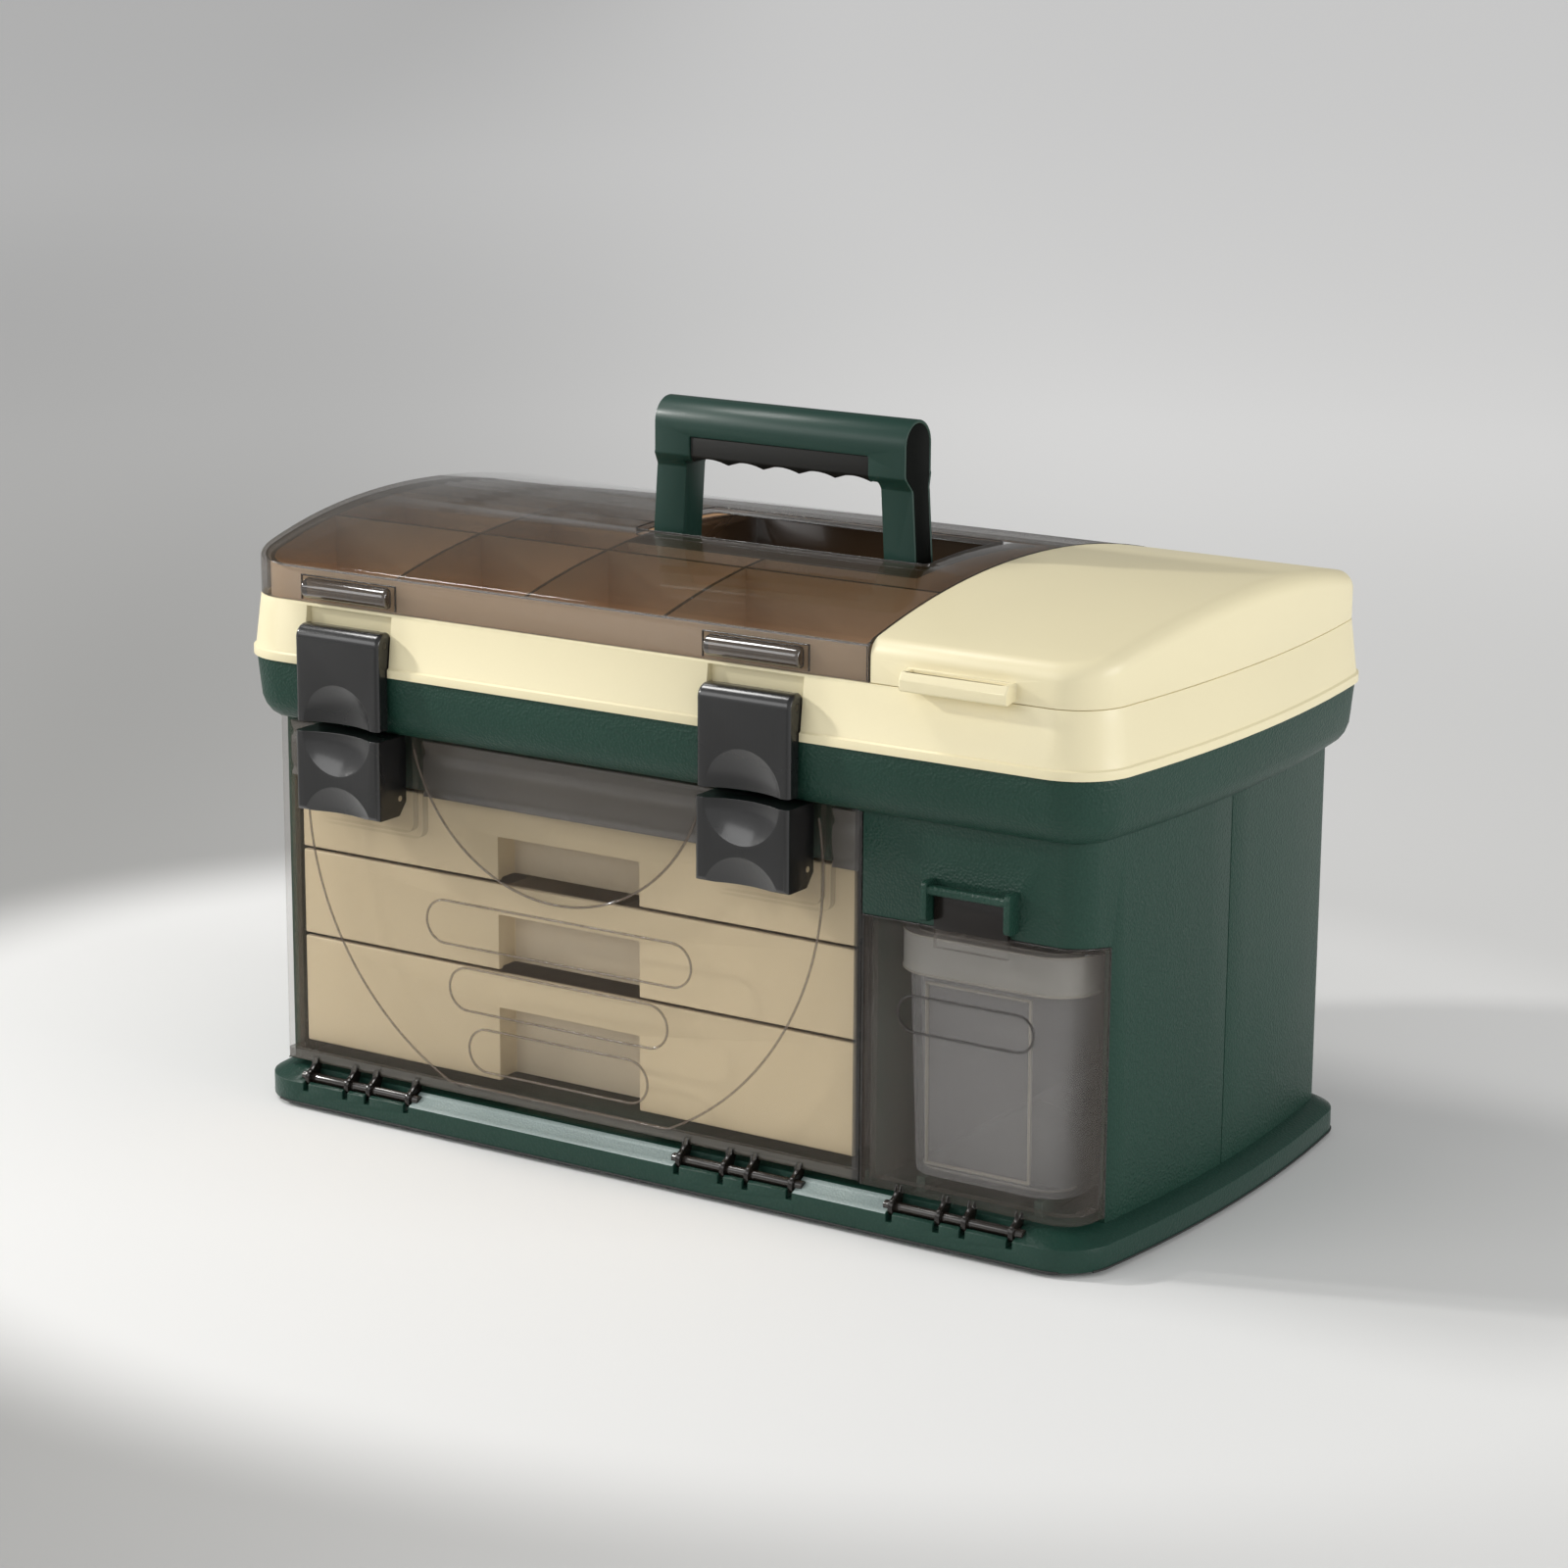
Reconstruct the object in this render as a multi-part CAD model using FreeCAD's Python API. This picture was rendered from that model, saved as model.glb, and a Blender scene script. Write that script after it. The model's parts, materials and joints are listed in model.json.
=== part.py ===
import FreeCAD, Part
import math
import os

Vec = FreeCAD.Vector

# All sizes are millimetres. The case is drawn with its front wall at y = 0, +Y to the back, x = 0 in the middle of
# its width and z = 0 under its base. On export everything moves so that the origin is under the middle of the part.

# ---- case, in plan ----
CASE_HALF_WIDTH = 208.0   # half the width across the corners, before they are rounded
SIDE_BOW = 8.6            # how far the side walls bulge at the middle of their depth
SEAM_WIDTH = 0.8          # shallow seam down the middle of each side wall
SEAM_DEPTH = 0.25
CASE_DEPTH = 228.0
CORNER_RADIUS = 14.0
WALL = 3.0                # case walls
BIG = 400.0               # reach of a cutting block

# ---- case, levels ----
FOOT_HEIGHT = 2.5
BASE_FACE_TOP = 9.8
BASE_TOP = 14.6
BASE_OVERHANG = 8.9
BASE_FLOOR = 4.0          # thickness of the base pan's floor
BASE_SKIRT = 12.9         # width of the base pan's solid skirt
RIM_BOTTOM = 179.0
RIM_CURVE = 14.0          # height of the rim's rounded underside
RIM_CURVE_REACH = 10.5
RIM_OVERHANG = 12.0
RIM_TOP = 207.4
DECK_BOTTOM = 158.0
DECK_THICK = 3.0

# ---- lid ----
LID_GAP = 0.3             # between the case rim and the lid
LIP_OVERHANG = 13.4
LIP_HEIGHT = 3.6
LIP_STEP = 1.1
BAND_TOP = RIM_TOP + 28.0 # seam between the lid and its two covers
BAND_OVERHANG = 9.4
LID_WALL = 3.1
LEDGE_THICK = 2.6
LEDGE_REACH = 8.0         # how far the tray ledge reaches inside the case walls
LEDGE_BOTTOM = 209.4
CREST = BAND_TOP + 33.1   # top of the arched covers
CREST_RADIUS = 489.0
COVER_WALL = 2.6
COVER_GAP = 0.3
TAB_HALF = 23.6           # half the length of a finger tab's round bar
TAB_REACH = 5.4
TAB_END = 1.6             # radius of the bar's ends
TAB_PLATE = 2.6           # how far the plate behind the bar stands out at each end
COVER_SPLIT = 112.7       # where the clear cover meets the side cover
LID_PARTITION = 2.6

# ---- front doors ----
DOOR_SPLIT = 104.8        # where the two doors meet
DOOR_GAP = 0.5
DOOR_LEFT = 2.3 - CASE_HALF_WIDTH
DOOR_BOTTOM = 17.0
DOOR_TOP = 180.0
DOOR_WALL = 3.0
DOOR_DEPTH = 8.5          # plate and return flange together
DOOR_SILL = 5.2           # the same along the bottom edge, so that the lowest drawer passes over it
DOOR_SILL_HEIGHT = 4.2
RECESS_DEPTH = 9.5        # how far the drawer front of the case lies behind the doors
SIDE_DOOR_TOP = 134.9
SIDE_DOOR_WRAP = 20.0     # how far the side door reaches round the corner
SIDE_DOOR_WALL = 2.8
DOOR_AXIS_Y = -4.0
DOOR_AXIS_Z = 12.0
ROD_RADIUS = 2.2
HINGE_ARM = 2.2           # thickness of a hinge arm
HINGE_ARM_X = (-28.9, -6.1, 6.5, 28.9)
HINGE_CENTRES = (48.6 - CASE_HALF_WIDTH, 46.0)
SIDE_HINGE_CENTRE = (DOOR_SPLIT + CASE_HALF_WIDTH) / 2 - 2.9
RUNNING = 0.06            # radial clearance of a turning pin
CATCH_X = SIDE_HINGE_CENTRE + 4.7   # bracket over the side door's tongue
CATCH_REACH = 8.0
CATCH_BOTTOM = 138.6
CATCH_TOP = 155.6
CATCH_EAR = 2.6
CATCH_SIDE_GAP = 0.8
CATCH_GAP = 0.7
TONGUE_HALF = 17.4
TONGUE_TOP = 149.4
RIDGE_WIDTH = 1.3
RIDGE_HEIGHT = 0.55
ORNAMENT_X = -52.0
RING_RADIUS = 138.2
RING_Z = 147.0
HALF_RING_RADIUS = 80.1
HALF_RING_Z = 193.5
CAPSULE_HEIGHT = 21.0
CAPSULES = ((143.6, 97.0), (119.0, 67.5), (98.0, 40.6))   # length and height of the middle of each raised capsule
SIDE_CAPSULE = (65.8, 96.0, 17.0)

# ---- latches ----
LATCH_CENTRES = (51.2 - CASE_HALF_WIDTH, 57.6)
LATCH_WIDTH = 46.6
LATCH_WALL = 2.4
UPPER_LATCH_BOTTOM = 184.0
UPPER_LATCH_TOP = 227.5
UPPER_LATCH_FRONT = 19.5
UPPER_PIN_Y = -14.0
UPPER_PIN_Z = 222.0
LATCH_TOP_BACK = 8.5
LATCH_REST = 12.9         # back of the upper latch, just clear of the rim
LOWER_LATCH_BOTTOM = 143.5
LOWER_LATCH_TOP = 179.7
LOWER_LATCH_FRONT = 20.5
LOWER_LATCH_BACK = 0.5
LOWER_PIN_Y = -5.0
LOWER_PIN_Z = 151.5
LATCH_PIN_RADIUS = 1.6
LATCH_SIDE_GAP = 0.5
LATCH_CROWN = 6.0         # radius of an upper latch's top edge
LATCH_EDGE = 2.2
LATCH_HEEL = 3.0          # radius of its top rear edge, which turns past the lid
SCOOP_RADIUS = 18.9       # of the round dish that the two latches share, half on each
SCOOP_DEPTH = 4.6
FINGER_SCOOP_RADIUS = 19.8
FINGER_SCOOP_DROP = 7.0   # how far the middle of a lower latch's bottom dish lies below the latch
HANGER = 2.6              # thickness of a lug inside a latch
HANGER_RADIUS = 3.4
HANGER_ARM = 3.6          # width of the arm behind a lug
HANGER_LEAN = 45.0        # lean of that arm
HANGER_GAP = 0.4
SEAT_DEPTH = 4.0          # recess of the clear door behind a lower latch
SEAT_BOTTOM = 134.6
NOTCH_BACK = 6.8          # back of the lid's notch behind an upper latch
NOTCH_WALL = 1.5

# ---- handle ----
HANDLE_X = 9.5
HANDLE_AXIS_Y = 91.5
HANDLE_AXIS_Z = 247.0
HANDLE_TOP = 327.0
HANDLE_FRONT = 80.0
HANDLE_DEPTH = 22.0
LEG_FRONT = 84.0
LEG_DEPTH = 15.0
LEG_WIDTH = 16.0
COLLAR = 5.5              # height over which the legs widen into the beam
BEAM_HALF = 64.5
BEAM_BOTTOM = 300.0
LEG_HALF_TOP = 66.0
LEG_HALF_FOOT = 70.0
GRIP_HALF = 46.0
GRIP_TOP = 311.0
GRIP_INSET = 0.8          # how far the grip lies inside the beam's faces
SCALLOPS = 5
SCALLOP_DEPTH = 2.2
HANDLE_PIN_RADIUS = 3.0
SIDE_INSERT = 1.8
SIDE_INSERT_RIM = 1.6
SLOT_X = (HANDLE_X - LEG_HALF_FOOT - 5.5, HANDLE_X + LEG_HALF_FOOT + 6.5)
SLOT_Y = (79.5, 146.0)
SLOT_CORNER = 3.0

# ---- tray in the lid ----
TRAY_OVERHANG = 5.0
TRAY_RIGHT = 109.3
TRAY_FLOOR = 2.0
TRAY_WALL = 2.0
TRAY_BELOW_COVER = 1.6
WELL_SIDE_GAP = 3.4       # between the handle's feet and the walls of its well
WELL_WALL = 2.4
WELL_X = (HANDLE_X - LEG_HALF_FOOT - WELL_SIDE_GAP, HANDLE_X + LEG_HALF_FOOT + WELL_SIDE_GAP)
WELL_Y = (74.5, 176.0)
WELL_FLOOR = 233.0
TRAY_COLUMNS = (-135.0, -65.0, 7.5)
TRAY_ROWS = (58.0, 112.0, 166.0)

# ---- drawers ----
DRAWER_LEFT = 6.2 - CASE_HALF_WIDTH
DRAWER_RIGHT = DOOR_SPLIT - 9.2
DRAWER_FRONT = 10.0
DRAWER_PLATE = 3.0
DRAWER_REAR = 208.0
DRAWER_WALL = 2.0
DRAWER_GAP = 1.6          # between neighbouring drawer fronts
DRAWER_INSET = 3.0        # how far the drawer box lies inside its front plate's ends
DRAWER_LEVELS = (23.2, 75.0, 116.0, 151.6)
DRAWER_TOP_DROP = 5.0
PULL_HALF = 38.0
PULL_DROPS = (16.0, 14.0, 14.0)   # from the top of the front plate to its finger pull: bottom, middle and top drawer
PULL_DEPTH = 12.0
RUNNER_THICK = 2.2
RUNNER_UNDER = 3.0        # how far a runner reaches under the drawer box
RUNNER_GAP = 0.3
DIVIDER_THICK = 1.8

# ---- bin ----
BIN_LEFT = DOOR_SPLIT + 5.8
BIN_RIGHT = CASE_HALF_WIDTH - 6.8
BIN_FRONT = 9.8
BIN_REAR = 160.0
BIN_BOTTOM = 21.4
BIN_TOP = 126.7
BIN_RIM = 16.5
BIN_RIM_REACH = 2.4
BIN_WALL = 2.2
BIN_CORNER = 17.0
BIN_DRAFT = 3.4
BIN_PANEL_X = (BIN_LEFT + 18.0, BIN_RIGHT - 23.0)   # recessed panel in the bin's front
BIN_PANEL_BOTTOM = 27.0
BIN_PANEL_TOP = 106.2
BIN_PANEL_DEPTH = 1.6

# ---- rear hinges ----
LID_AXIS_OUT = 4.5        # lid hinge axis behind the lip
LID_KNUCKLE = 4.0
LID_PIN_RADIUS = 2.0
LID_HINGES = (-130.0, 130.0)
COVER_AXIS_OUT = 3.6      # cover hinge axis behind the band
COVER_KNUCKLE = 3.0
COVER_PIN_RADIUS = 1.5
COVER_AXIS_Z = 236.2
COVER_HINGES = (-140.0, 50.0)
SIDE_COVER_HINGE = 160.0
KNUCKLE_HALF = 7.0
KNUCKLE_GAP = 0.4

LID_AXIS_Y = CASE_DEPTH + LIP_OVERHANG + LID_AXIS_OUT
COVER_AXIS_Y = CASE_DEPTH + BAND_OVERHANG + COVER_AXIS_OUT
REAR_REACH = LID_AXIS_Y + LID_KNUCKLE
MIDDLE_Y = (REAR_REACH - LOWER_LATCH_FRONT) / 2
ORIGIN = Vec(0, -MIDDLE_Y, FOOT_HEIGHT)

BOW_RADIUS = ((CASE_DEPTH / 2) ** 2 + SIDE_BOW ** 2) / (2 * SIDE_BOW)
BOW_X = CASE_HALF_WIDTH + SIDE_BOW - BOW_RADIUS
CORNER_X = BOW_X + math.sqrt((BOW_RADIUS - CORNER_RADIUS) ** 2 - (CASE_DEPTH / 2 - CORNER_RADIUS) ** 2)


# ---- basic shapes ----
def box(x0, y0, z0, x1, y1, z1):
    """Block between two corners."""
    return Part.makeBox(x1 - x0, y1 - y0, z1 - z0, Vec(x0, y0, z0))


def rod(y, z, radius, x0, x1):
    """Cylinder along X."""
    return Part.makeCylinder(radius, x1 - x0, Vec(x0, y, z), Vec(1, 0, 0))


def fuse(shapes):
    """One solid from several that touch or overlap."""
    return shapes[0].multiFuse(shapes[1:]).removeSplitter() if len(shapes) > 1 else shapes[0]


def line(a, b):
    """Straight edge."""
    return Part.LineSegment(a, b).toShape()


def arc(a, middle, b):
    """Round edge through three points."""
    return Part.Arc(a, middle, b).toShape()


def outline(offset, z):
    """Plan outline of the case at height z, grown outwards by offset: straight front and back, bowed sides."""
    radius = CORNER_RADIUS + offset
    middle = CASE_DEPTH / 2
    reach = math.hypot(CORNER_X - BOW_X, middle - CORNER_RADIUS)
    ux = (CORNER_X - BOW_X) / reach
    uy = (CORNER_RADIUS - middle) / reach
    half = math.hypot(ux, uy - 1)
    start = (CORNER_X, -offset)
    bend = (CORNER_X + radius * ux / half, CORNER_RADIUS + radius * (uy - 1) / half)
    tangent = (CORNER_X + radius * ux, CORNER_RADIUS + radius * uy)
    bulge = (BOW_X + BOW_RADIUS + offset, middle)

    def at(point, side=1, back=False):
        y = CASE_DEPTH - point[1] if back else point[1]
        return Vec(side * point[0], y, z)

    edges = [line(at(start, -1), at(start))]
    edges.append(arc(at(start), at(bend), at(tangent)))
    edges.append(arc(at(tangent), at(bulge), at(tangent, 1, True)))
    edges.append(arc(at(tangent, 1, True), at(bend, 1, True), at(start, 1, True)))
    edges.append(line(at(start, 1, True), at(start, -1, True)))
    edges.append(arc(at(start, -1, True), at(bend, -1, True), at(tangent, -1, True)))
    edges.append(arc(at(tangent, -1, True), at(bulge, -1), at(tangent, -1)))
    edges.append(arc(at(tangent, -1), at(bend, -1), at(start, -1)))
    return Part.Wire(edges)


def prism(offset, z0, z1):
    """Upright block on the plan outline."""
    return Part.Face(outline(offset, z0)).extrude(Vec(0, 0, z1 - z0))


def stack(levels):
    """Solid through plan outlines at (height, offset) levels."""
    solids = []
    for (z0, o0), (z1, o1) in zip(levels, levels[1:]):
        if o0 == o1:
            solids.append(prism(o0, z0, z1))
        else:
            solids.append(Part.makeLoft([outline(o0, z0), outline(o1, z1)], True, True))
    return fuse(solids)


def side_profile(points, x0, x1):
    """Block along X whose section is a closed polygon of (y, z) points."""
    corners = [Vec(x0, y, z) for y, z in points]
    face = Part.Face(Part.makePolygon(corners + corners[:1]))
    return face.extrude(Vec(x1 - x0, 0, 0))


def capsule(length, height, x, z, y0, y1):
    """Block along Y with a capsule section, flat on top and bottom and round at its ends."""
    radius = height / 2
    straight = length / 2 - radius
    a = Vec(x - straight, y0, z - radius)
    b = Vec(x + straight, y0, z - radius)
    c = Vec(x + straight, y0, z + radius)
    d = Vec(x - straight, y0, z + radius)
    right = arc(b, Vec(x + straight + radius, y0, z), c)
    left = arc(d, Vec(x - straight - radius, y0, z), a)
    return Part.Face(Part.Wire([line(a, b), right, line(c, d), left])).extrude(Vec(0, y1 - y0, 0))


def rounded_box(x0, y0, z0, x1, y1, z1, radius):
    """Block with rounded upright edges."""
    block = box(x0, y0, z0, x1, y1, z1)
    upright = [e for e in block.Edges if abs(e.Vertexes[0].Z - e.Vertexes[1].Z) > 0.01]
    return block.makeFillet(radius, upright)


def arch(crest, radius, low, front, x0, x1):
    """Block along X under an arched top: its crest is over the middle of the case depth."""
    middle = CASE_DEPTH / 2
    half = middle + front
    side = crest - radius + math.sqrt(radius ** 2 - half ** 2)
    a = Vec(x0, middle - half, low)
    b = Vec(x0, middle - half, side)
    c = Vec(x0, middle + half, side)
    d = Vec(x0, middle + half, low)
    top = arc(b, Vec(x0, middle, crest), c)
    return Part.Face(Part.Wire([line(a, b), top, line(c, d), line(d, a)])).extrude(Vec(x1 - x0, 0, 0))


def edges_where(shape, test):
    """Edges of a shape whose middle passes a test."""
    return [e for e in shape.Edges if test(e)]


def knuckle(y, z, radius, bore, x0, x1, web):
    """Hinge knuckle with the web that carries it."""
    return rod(y, z, radius, x0, x1).fuse(web).cut(rod(y, z, bore, x0 - 1, x1 + 1))


# ---- case ----
def rim_levels(inside):
    """Levels of the case rim: rounded underside, then an almost upright band. Inside is the wall to step in by."""
    steps = 5
    top = RIM_BOTTOM + RIM_CURVE
    levels = []
    for i in range(steps + 1):
        turn = math.radians(90 * i / steps)
        z = top - RIM_CURVE * math.cos(turn) + inside / 2
        levels.append((z, RIM_CURVE_REACH * math.sin(turn) - inside))
    levels.append((RIM_TOP, RIM_OVERHANG - inside))
    return levels


def front_keep(z0, z1):
    """Space in front of the drawers that the case's hollows leave alone."""
    return box(-BIG, -BIG, z0, DOOR_SPLIT + WALL, RECESS_DEPTH + WALL, z1)


def side_opening(extra):
    """Space of the side door: round the corner, under an arc about its hinge."""
    reach = SIDE_DOOR_TOP - DOOR_AXIS_Z + extra
    block = box(DOOR_SPLIT, -BIG, BASE_TOP - 1, BIG, SIDE_DOOR_WRAP + extra, SIDE_DOOR_TOP + extra)
    return block.common(rod(DOOR_AXIS_Y, DOOR_AXIS_Z, reach, -BIG, BIG))


def catch_bracket():
    """Bracket over the side door: two ears and a bar."""
    parts = []
    for side in (-1, 1):
        inner = CATCH_X + side * (TONGUE_HALF + CATCH_SIDE_GAP)
        outer = inner + side * CATCH_EAR
        x0, x1 = min(inner, outer), max(inner, outer)
        ear = box(x0, -CATCH_REACH, CATCH_BOTTOM, x1, 0.5, CATCH_TOP)
        front = edges_where(ear, lambda e: e.CenterOfMass.y < -CATCH_REACH + 0.01 and abs(e.CenterOfMass.x - (x0 + x1) / 2) < 0.1)
        parts.append(ear.makeFillet(2.4, front))
    half = TONGUE_HALF + CATCH_SIDE_GAP + 0.5
    bar = box(CATCH_X - half, -CATCH_REACH + 0.6, TONGUE_TOP + CATCH_GAP, CATCH_X + half, -CATCH_REACH + 4.0, CATCH_TOP - 1.6)
    ends = edges_where(bar, lambda e: abs(e.CenterOfMass.x - CATCH_X) < 0.1 and e.CenterOfMass.y < -CATCH_REACH + 0.7)
    parts.append(bar.makeFillet(1.5, ends))
    return fuse(parts)


def case_body():
    """Walls, rim and front panel of the case."""
    levels = [(BASE_TOP, 0), (RIM_BOTTOM, 0)] + rim_levels(0)[1:]
    body = stack(levels)
    store = stack([(DECK_BOTTOM, -WALL)] + rim_levels(WALL)[:-1] + [(RIM_TOP + 1, RIM_OVERHANG - WALL)])
    bays = prism(-WALL, BASE_TOP - 1, DECK_BOTTOM)
    band = front_keep(DRAWER_LEVELS[-1] + DRAWER_GAP / 2, DOOR_TOP + DOOR_GAP + WALL)
    corner = box(DOOR_SPLIT, -BIG, SIDE_DOOR_TOP, DOOR_SPLIT + WALL, RECESS_DEPTH + WALL, DECK_BOTTOM + 1)
    hollows = store.fuse(bays).cut(band).cut(corner)
    body = body.cut(hollows)
    body = body.cut(box(-BIG, -BIG, 0, DOOR_SPLIT, RECESS_DEPTH, DOOR_TOP + DOOR_GAP))
    body = body.cut(side_opening(DOOR_GAP))
    tongue = box(CATCH_X - TONGUE_HALF, -1, SIDE_DOOR_TOP - 4, CATCH_X + TONGUE_HALF, 1.5, TONGUE_TOP + CATCH_GAP)
    body = body.cut(tongue).fuse(catch_bracket())
    seam_y = CASE_DEPTH / 2
    side = CASE_HALF_WIDTH + SIDE_BOW - SEAM_DEPTH
    for x0, x1 in ((-BIG, -side), (side, BIG)):
        body = body.cut(box(x0, seam_y - SEAM_WIDTH / 2, BASE_TOP - 1, x1, seam_y + SEAM_WIDTH / 2, RIM_BOTTOM))
    pieces = [body]
    for x in LID_HINGES:
        for side in (-1, 1):
            inner = x + side * (KNUCKLE_HALF + KNUCKLE_GAP)
            outer = inner + side * 2 * KNUCKLE_HALF
            x0, x1 = min(inner, outer), max(inner, outer)
            web = box(x0, CASE_DEPTH + RIM_CURVE_REACH - 0.5, RIM_TOP - 9, x1, LID_AXIS_Y, RIM_TOP - 1)
            pieces.append(knuckle(LID_AXIS_Y, RIM_TOP, LID_KNUCKLE, LID_PIN_RADIUS, x0, x1, web))
    return fuse(pieces)


def bulk_deck():
    """Floor of the store under the lid."""
    plate = prism(-WALL, DECK_BOTTOM, DECK_BOTTOM + DECK_THICK)
    return plate.cut(front_keep(0, BIG))


def partition():
    """Wall between the drawers and the bin."""
    wall = box(DOOR_SPLIT - WALL, RECESS_DEPTH, BASE_TOP, DOOR_SPLIT, CASE_DEPTH, DRAWER_LEVELS[-1])
    upper = box(DOOR_SPLIT - WALL, RECESS_DEPTH + WALL, BASE_TOP, DOOR_SPLIT, CASE_DEPTH, DECK_BOTTOM)
    return fuse([wall, upper]).common(prism(-WALL, BASE_TOP, DECK_BOTTOM))


def hinge_pocket(centre):
    """Space for a door hinge in the base: a trough for the rod and a slot for each arm."""
    reach = 5.2
    half = HINGE_ARM_X[-1] + HINGE_ARM / 2 + 0.4
    trough = box(centre - half, -BASE_OVERHANG + 1.7, DOOR_AXIS_Z - reach, centre + half, 1.6, BASE_TOP + 1)
    cuts = [trough]
    for x in HINGE_ARM_X:
        x0 = centre + x - HINGE_ARM / 2 - 0.4
        cuts.append(box(x0, -BIG, DOOR_AXIS_Z - 5.6, x0 + HINGE_ARM + 0.8, 0, BASE_TOP + 1))
    return fuse(cuts)


def base_pan():
    """Base of the case with its chamfered skirt, ribs below and bin runners above."""
    skirt = stack([(0, BASE_OVERHANG), (BASE_FACE_TOP, BASE_OVERHANG), (BASE_TOP, 0)])
    hollow = prism(BASE_OVERHANG - BASE_SKIRT, -1, BASE_TOP - BASE_FLOOR)
    front = box(-BIG, -BIG, -2, BIG, BASE_SKIRT, BIG)
    pan = skirt.cut(hollow.cut(front))
    ribs = []
    for x in (-0.625, -0.3125, 0.0, 0.3125, 0.625):
        x = x * CASE_HALF_WIDTH
        ribs.append(box(x - 1.2, BASE_SKIRT - 1, 2.0, x + 1.2, CASE_DEPTH + 2, BASE_TOP - BASE_FLOOR + 0.5))
    for y in (CASE_DEPTH / 3, CASE_DEPTH * 2 / 3):
        ribs.append(box(-CASE_HALF_WIDTH, y - 1.2, 2.0, CASE_HALF_WIDTH, y + 1.2, BASE_TOP - BASE_FLOOR + 0.5))
    for x in (BIN_LEFT + BIN_CORNER, BIN_RIGHT - BIN_CORNER):
        ribs.append(box(x - 2, 12.0, BASE_TOP - 0.5, x + 2, BIN_REAR + 10, BIN_BOTTOM - RUNNER_GAP))
    pan = fuse([pan] + ribs)
    for centre in HINGE_CENTRES + (SIDE_HINGE_CENTRE,):
        pan = pan.cut(hinge_pocket(centre))
        half = HINGE_ARM_X[-1] + HINGE_ARM / 2 + 3.4
        pan = pan.cut(rod(DOOR_AXIS_Y, DOOR_AXIS_Z, ROD_RADIUS, centre - half, centre + half))
    return pan


def hinge_rod(centre):
    """Rod of a door hinge, held by the base at both ends."""
    half = HINGE_ARM_X[-1] + HINGE_ARM / 2 + 3.4
    return rod(DOOR_AXIS_Y, DOOR_AXIS_Z, ROD_RADIUS, centre - half, centre + half)


def feet():
    """Low pads under the corners of the base."""
    pads = []
    for x in (-CASE_HALF_WIDTH + 12, CASE_HALF_WIDTH - 12):
        for y in (4.0, CASE_DEPTH - 4.0):
            pads.append(Part.makeCylinder(7.5, FOOT_HEIGHT, Vec(x, y, -FOOT_HEIGHT)))
    return pads


def runners(left):
    """Ledges that the drawers slide on, on one side of the drawer bay."""
    ledges = []
    for low in DRAWER_LEVELS[:-1]:
        top = low + DRAWER_GAP / 2 + 1 - RUNNER_GAP
        if left:
            x0, x1 = -BIG, DRAWER_LEFT + DRAWER_INSET + RUNNER_UNDER
        else:
            x0, x1 = DRAWER_RIGHT - DRAWER_INSET - RUNNER_UNDER, DOOR_SPLIT - WALL
        ledge = box(x0, DRAWER_FRONT + 6, top - RUNNER_THICK, x1, DRAWER_REAR + 8, top)
        ledges.append(ledge.common(prism(-WALL, BASE_TOP, DECK_BOTTOM)))
    return ledges


# ---- drawers and bin ----
def drawer(low, high, drop):
    """Open drawer with a front plate and a finger pull under the plate's upper edge."""
    z0 = low + DRAWER_GAP / 2
    z1 = high - DRAWER_GAP / 2
    middle = (DRAWER_LEFT + DRAWER_RIGHT) / 2
    left = DRAWER_LEFT + DRAWER_INSET
    right = DRAWER_RIGHT - DRAWER_INSET
    plate_back = DRAWER_FRONT + DRAWER_PLATE
    plate = box(DRAWER_LEFT, DRAWER_FRONT, z0, DRAWER_RIGHT, plate_back, z1)
    plate = plate.makeFillet(0.8, edges_where(plate, lambda e: e.CenterOfMass.y < DRAWER_FRONT + 0.01))
    shell = box(left, plate_back - 0.5, z0 + 1, right, DRAWER_REAR, z1 - DRAWER_TOP_DROP)
    inner = box(left + DRAWER_WALL, plate_back, z0 + 1 + DRAWER_WALL, right - DRAWER_WALL,
                DRAWER_REAR - DRAWER_WALL, z1 + 1)
    scoop_back = DRAWER_FRONT + PULL_DEPTH
    scoop = box(middle - PULL_HALF - DRAWER_WALL, DRAWER_FRONT + 1, z0 + 1, middle + PULL_HALF + DRAWER_WALL,
                scoop_back + DRAWER_WALL, z1 - drop + DRAWER_WALL)
    pull = side_profile([(DRAWER_FRONT - 1, z0 - 1), (scoop_back, z0 - 1), (scoop_back, z1 - drop - 3),
                         (scoop_back - 3, z1 - drop), (DRAWER_FRONT - 1, z1 - drop)],
                        middle - PULL_HALF, middle + PULL_HALF)
    body = fuse([plate, shell.cut(inner), scoop])
    return body.cut(pull)


def drawer_dividers(low, high, columns):
    """Upright dividers that stand in a drawer from its floor, clear of its walls."""
    floor = low + DRAWER_GAP / 2 + 1 + DRAWER_WALL
    top = high - DRAWER_GAP / 2 - DRAWER_TOP_DROP - 1.0
    left = DRAWER_LEFT + DRAWER_INSET + DRAWER_WALL
    right = DRAWER_RIGHT - DRAWER_INSET - DRAWER_WALL
    front = DRAWER_FRONT + PULL_DEPTH + DRAWER_WALL + 0.1
    back = DRAWER_REAR - DRAWER_WALL - 0.1
    walls = []
    for i in range(1, columns):
        x = left + (right - left) * i / columns
        walls.append(box(x - DIVIDER_THICK / 2, front, floor, x + DIVIDER_THICK / 2, back, top))
    return walls


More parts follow.
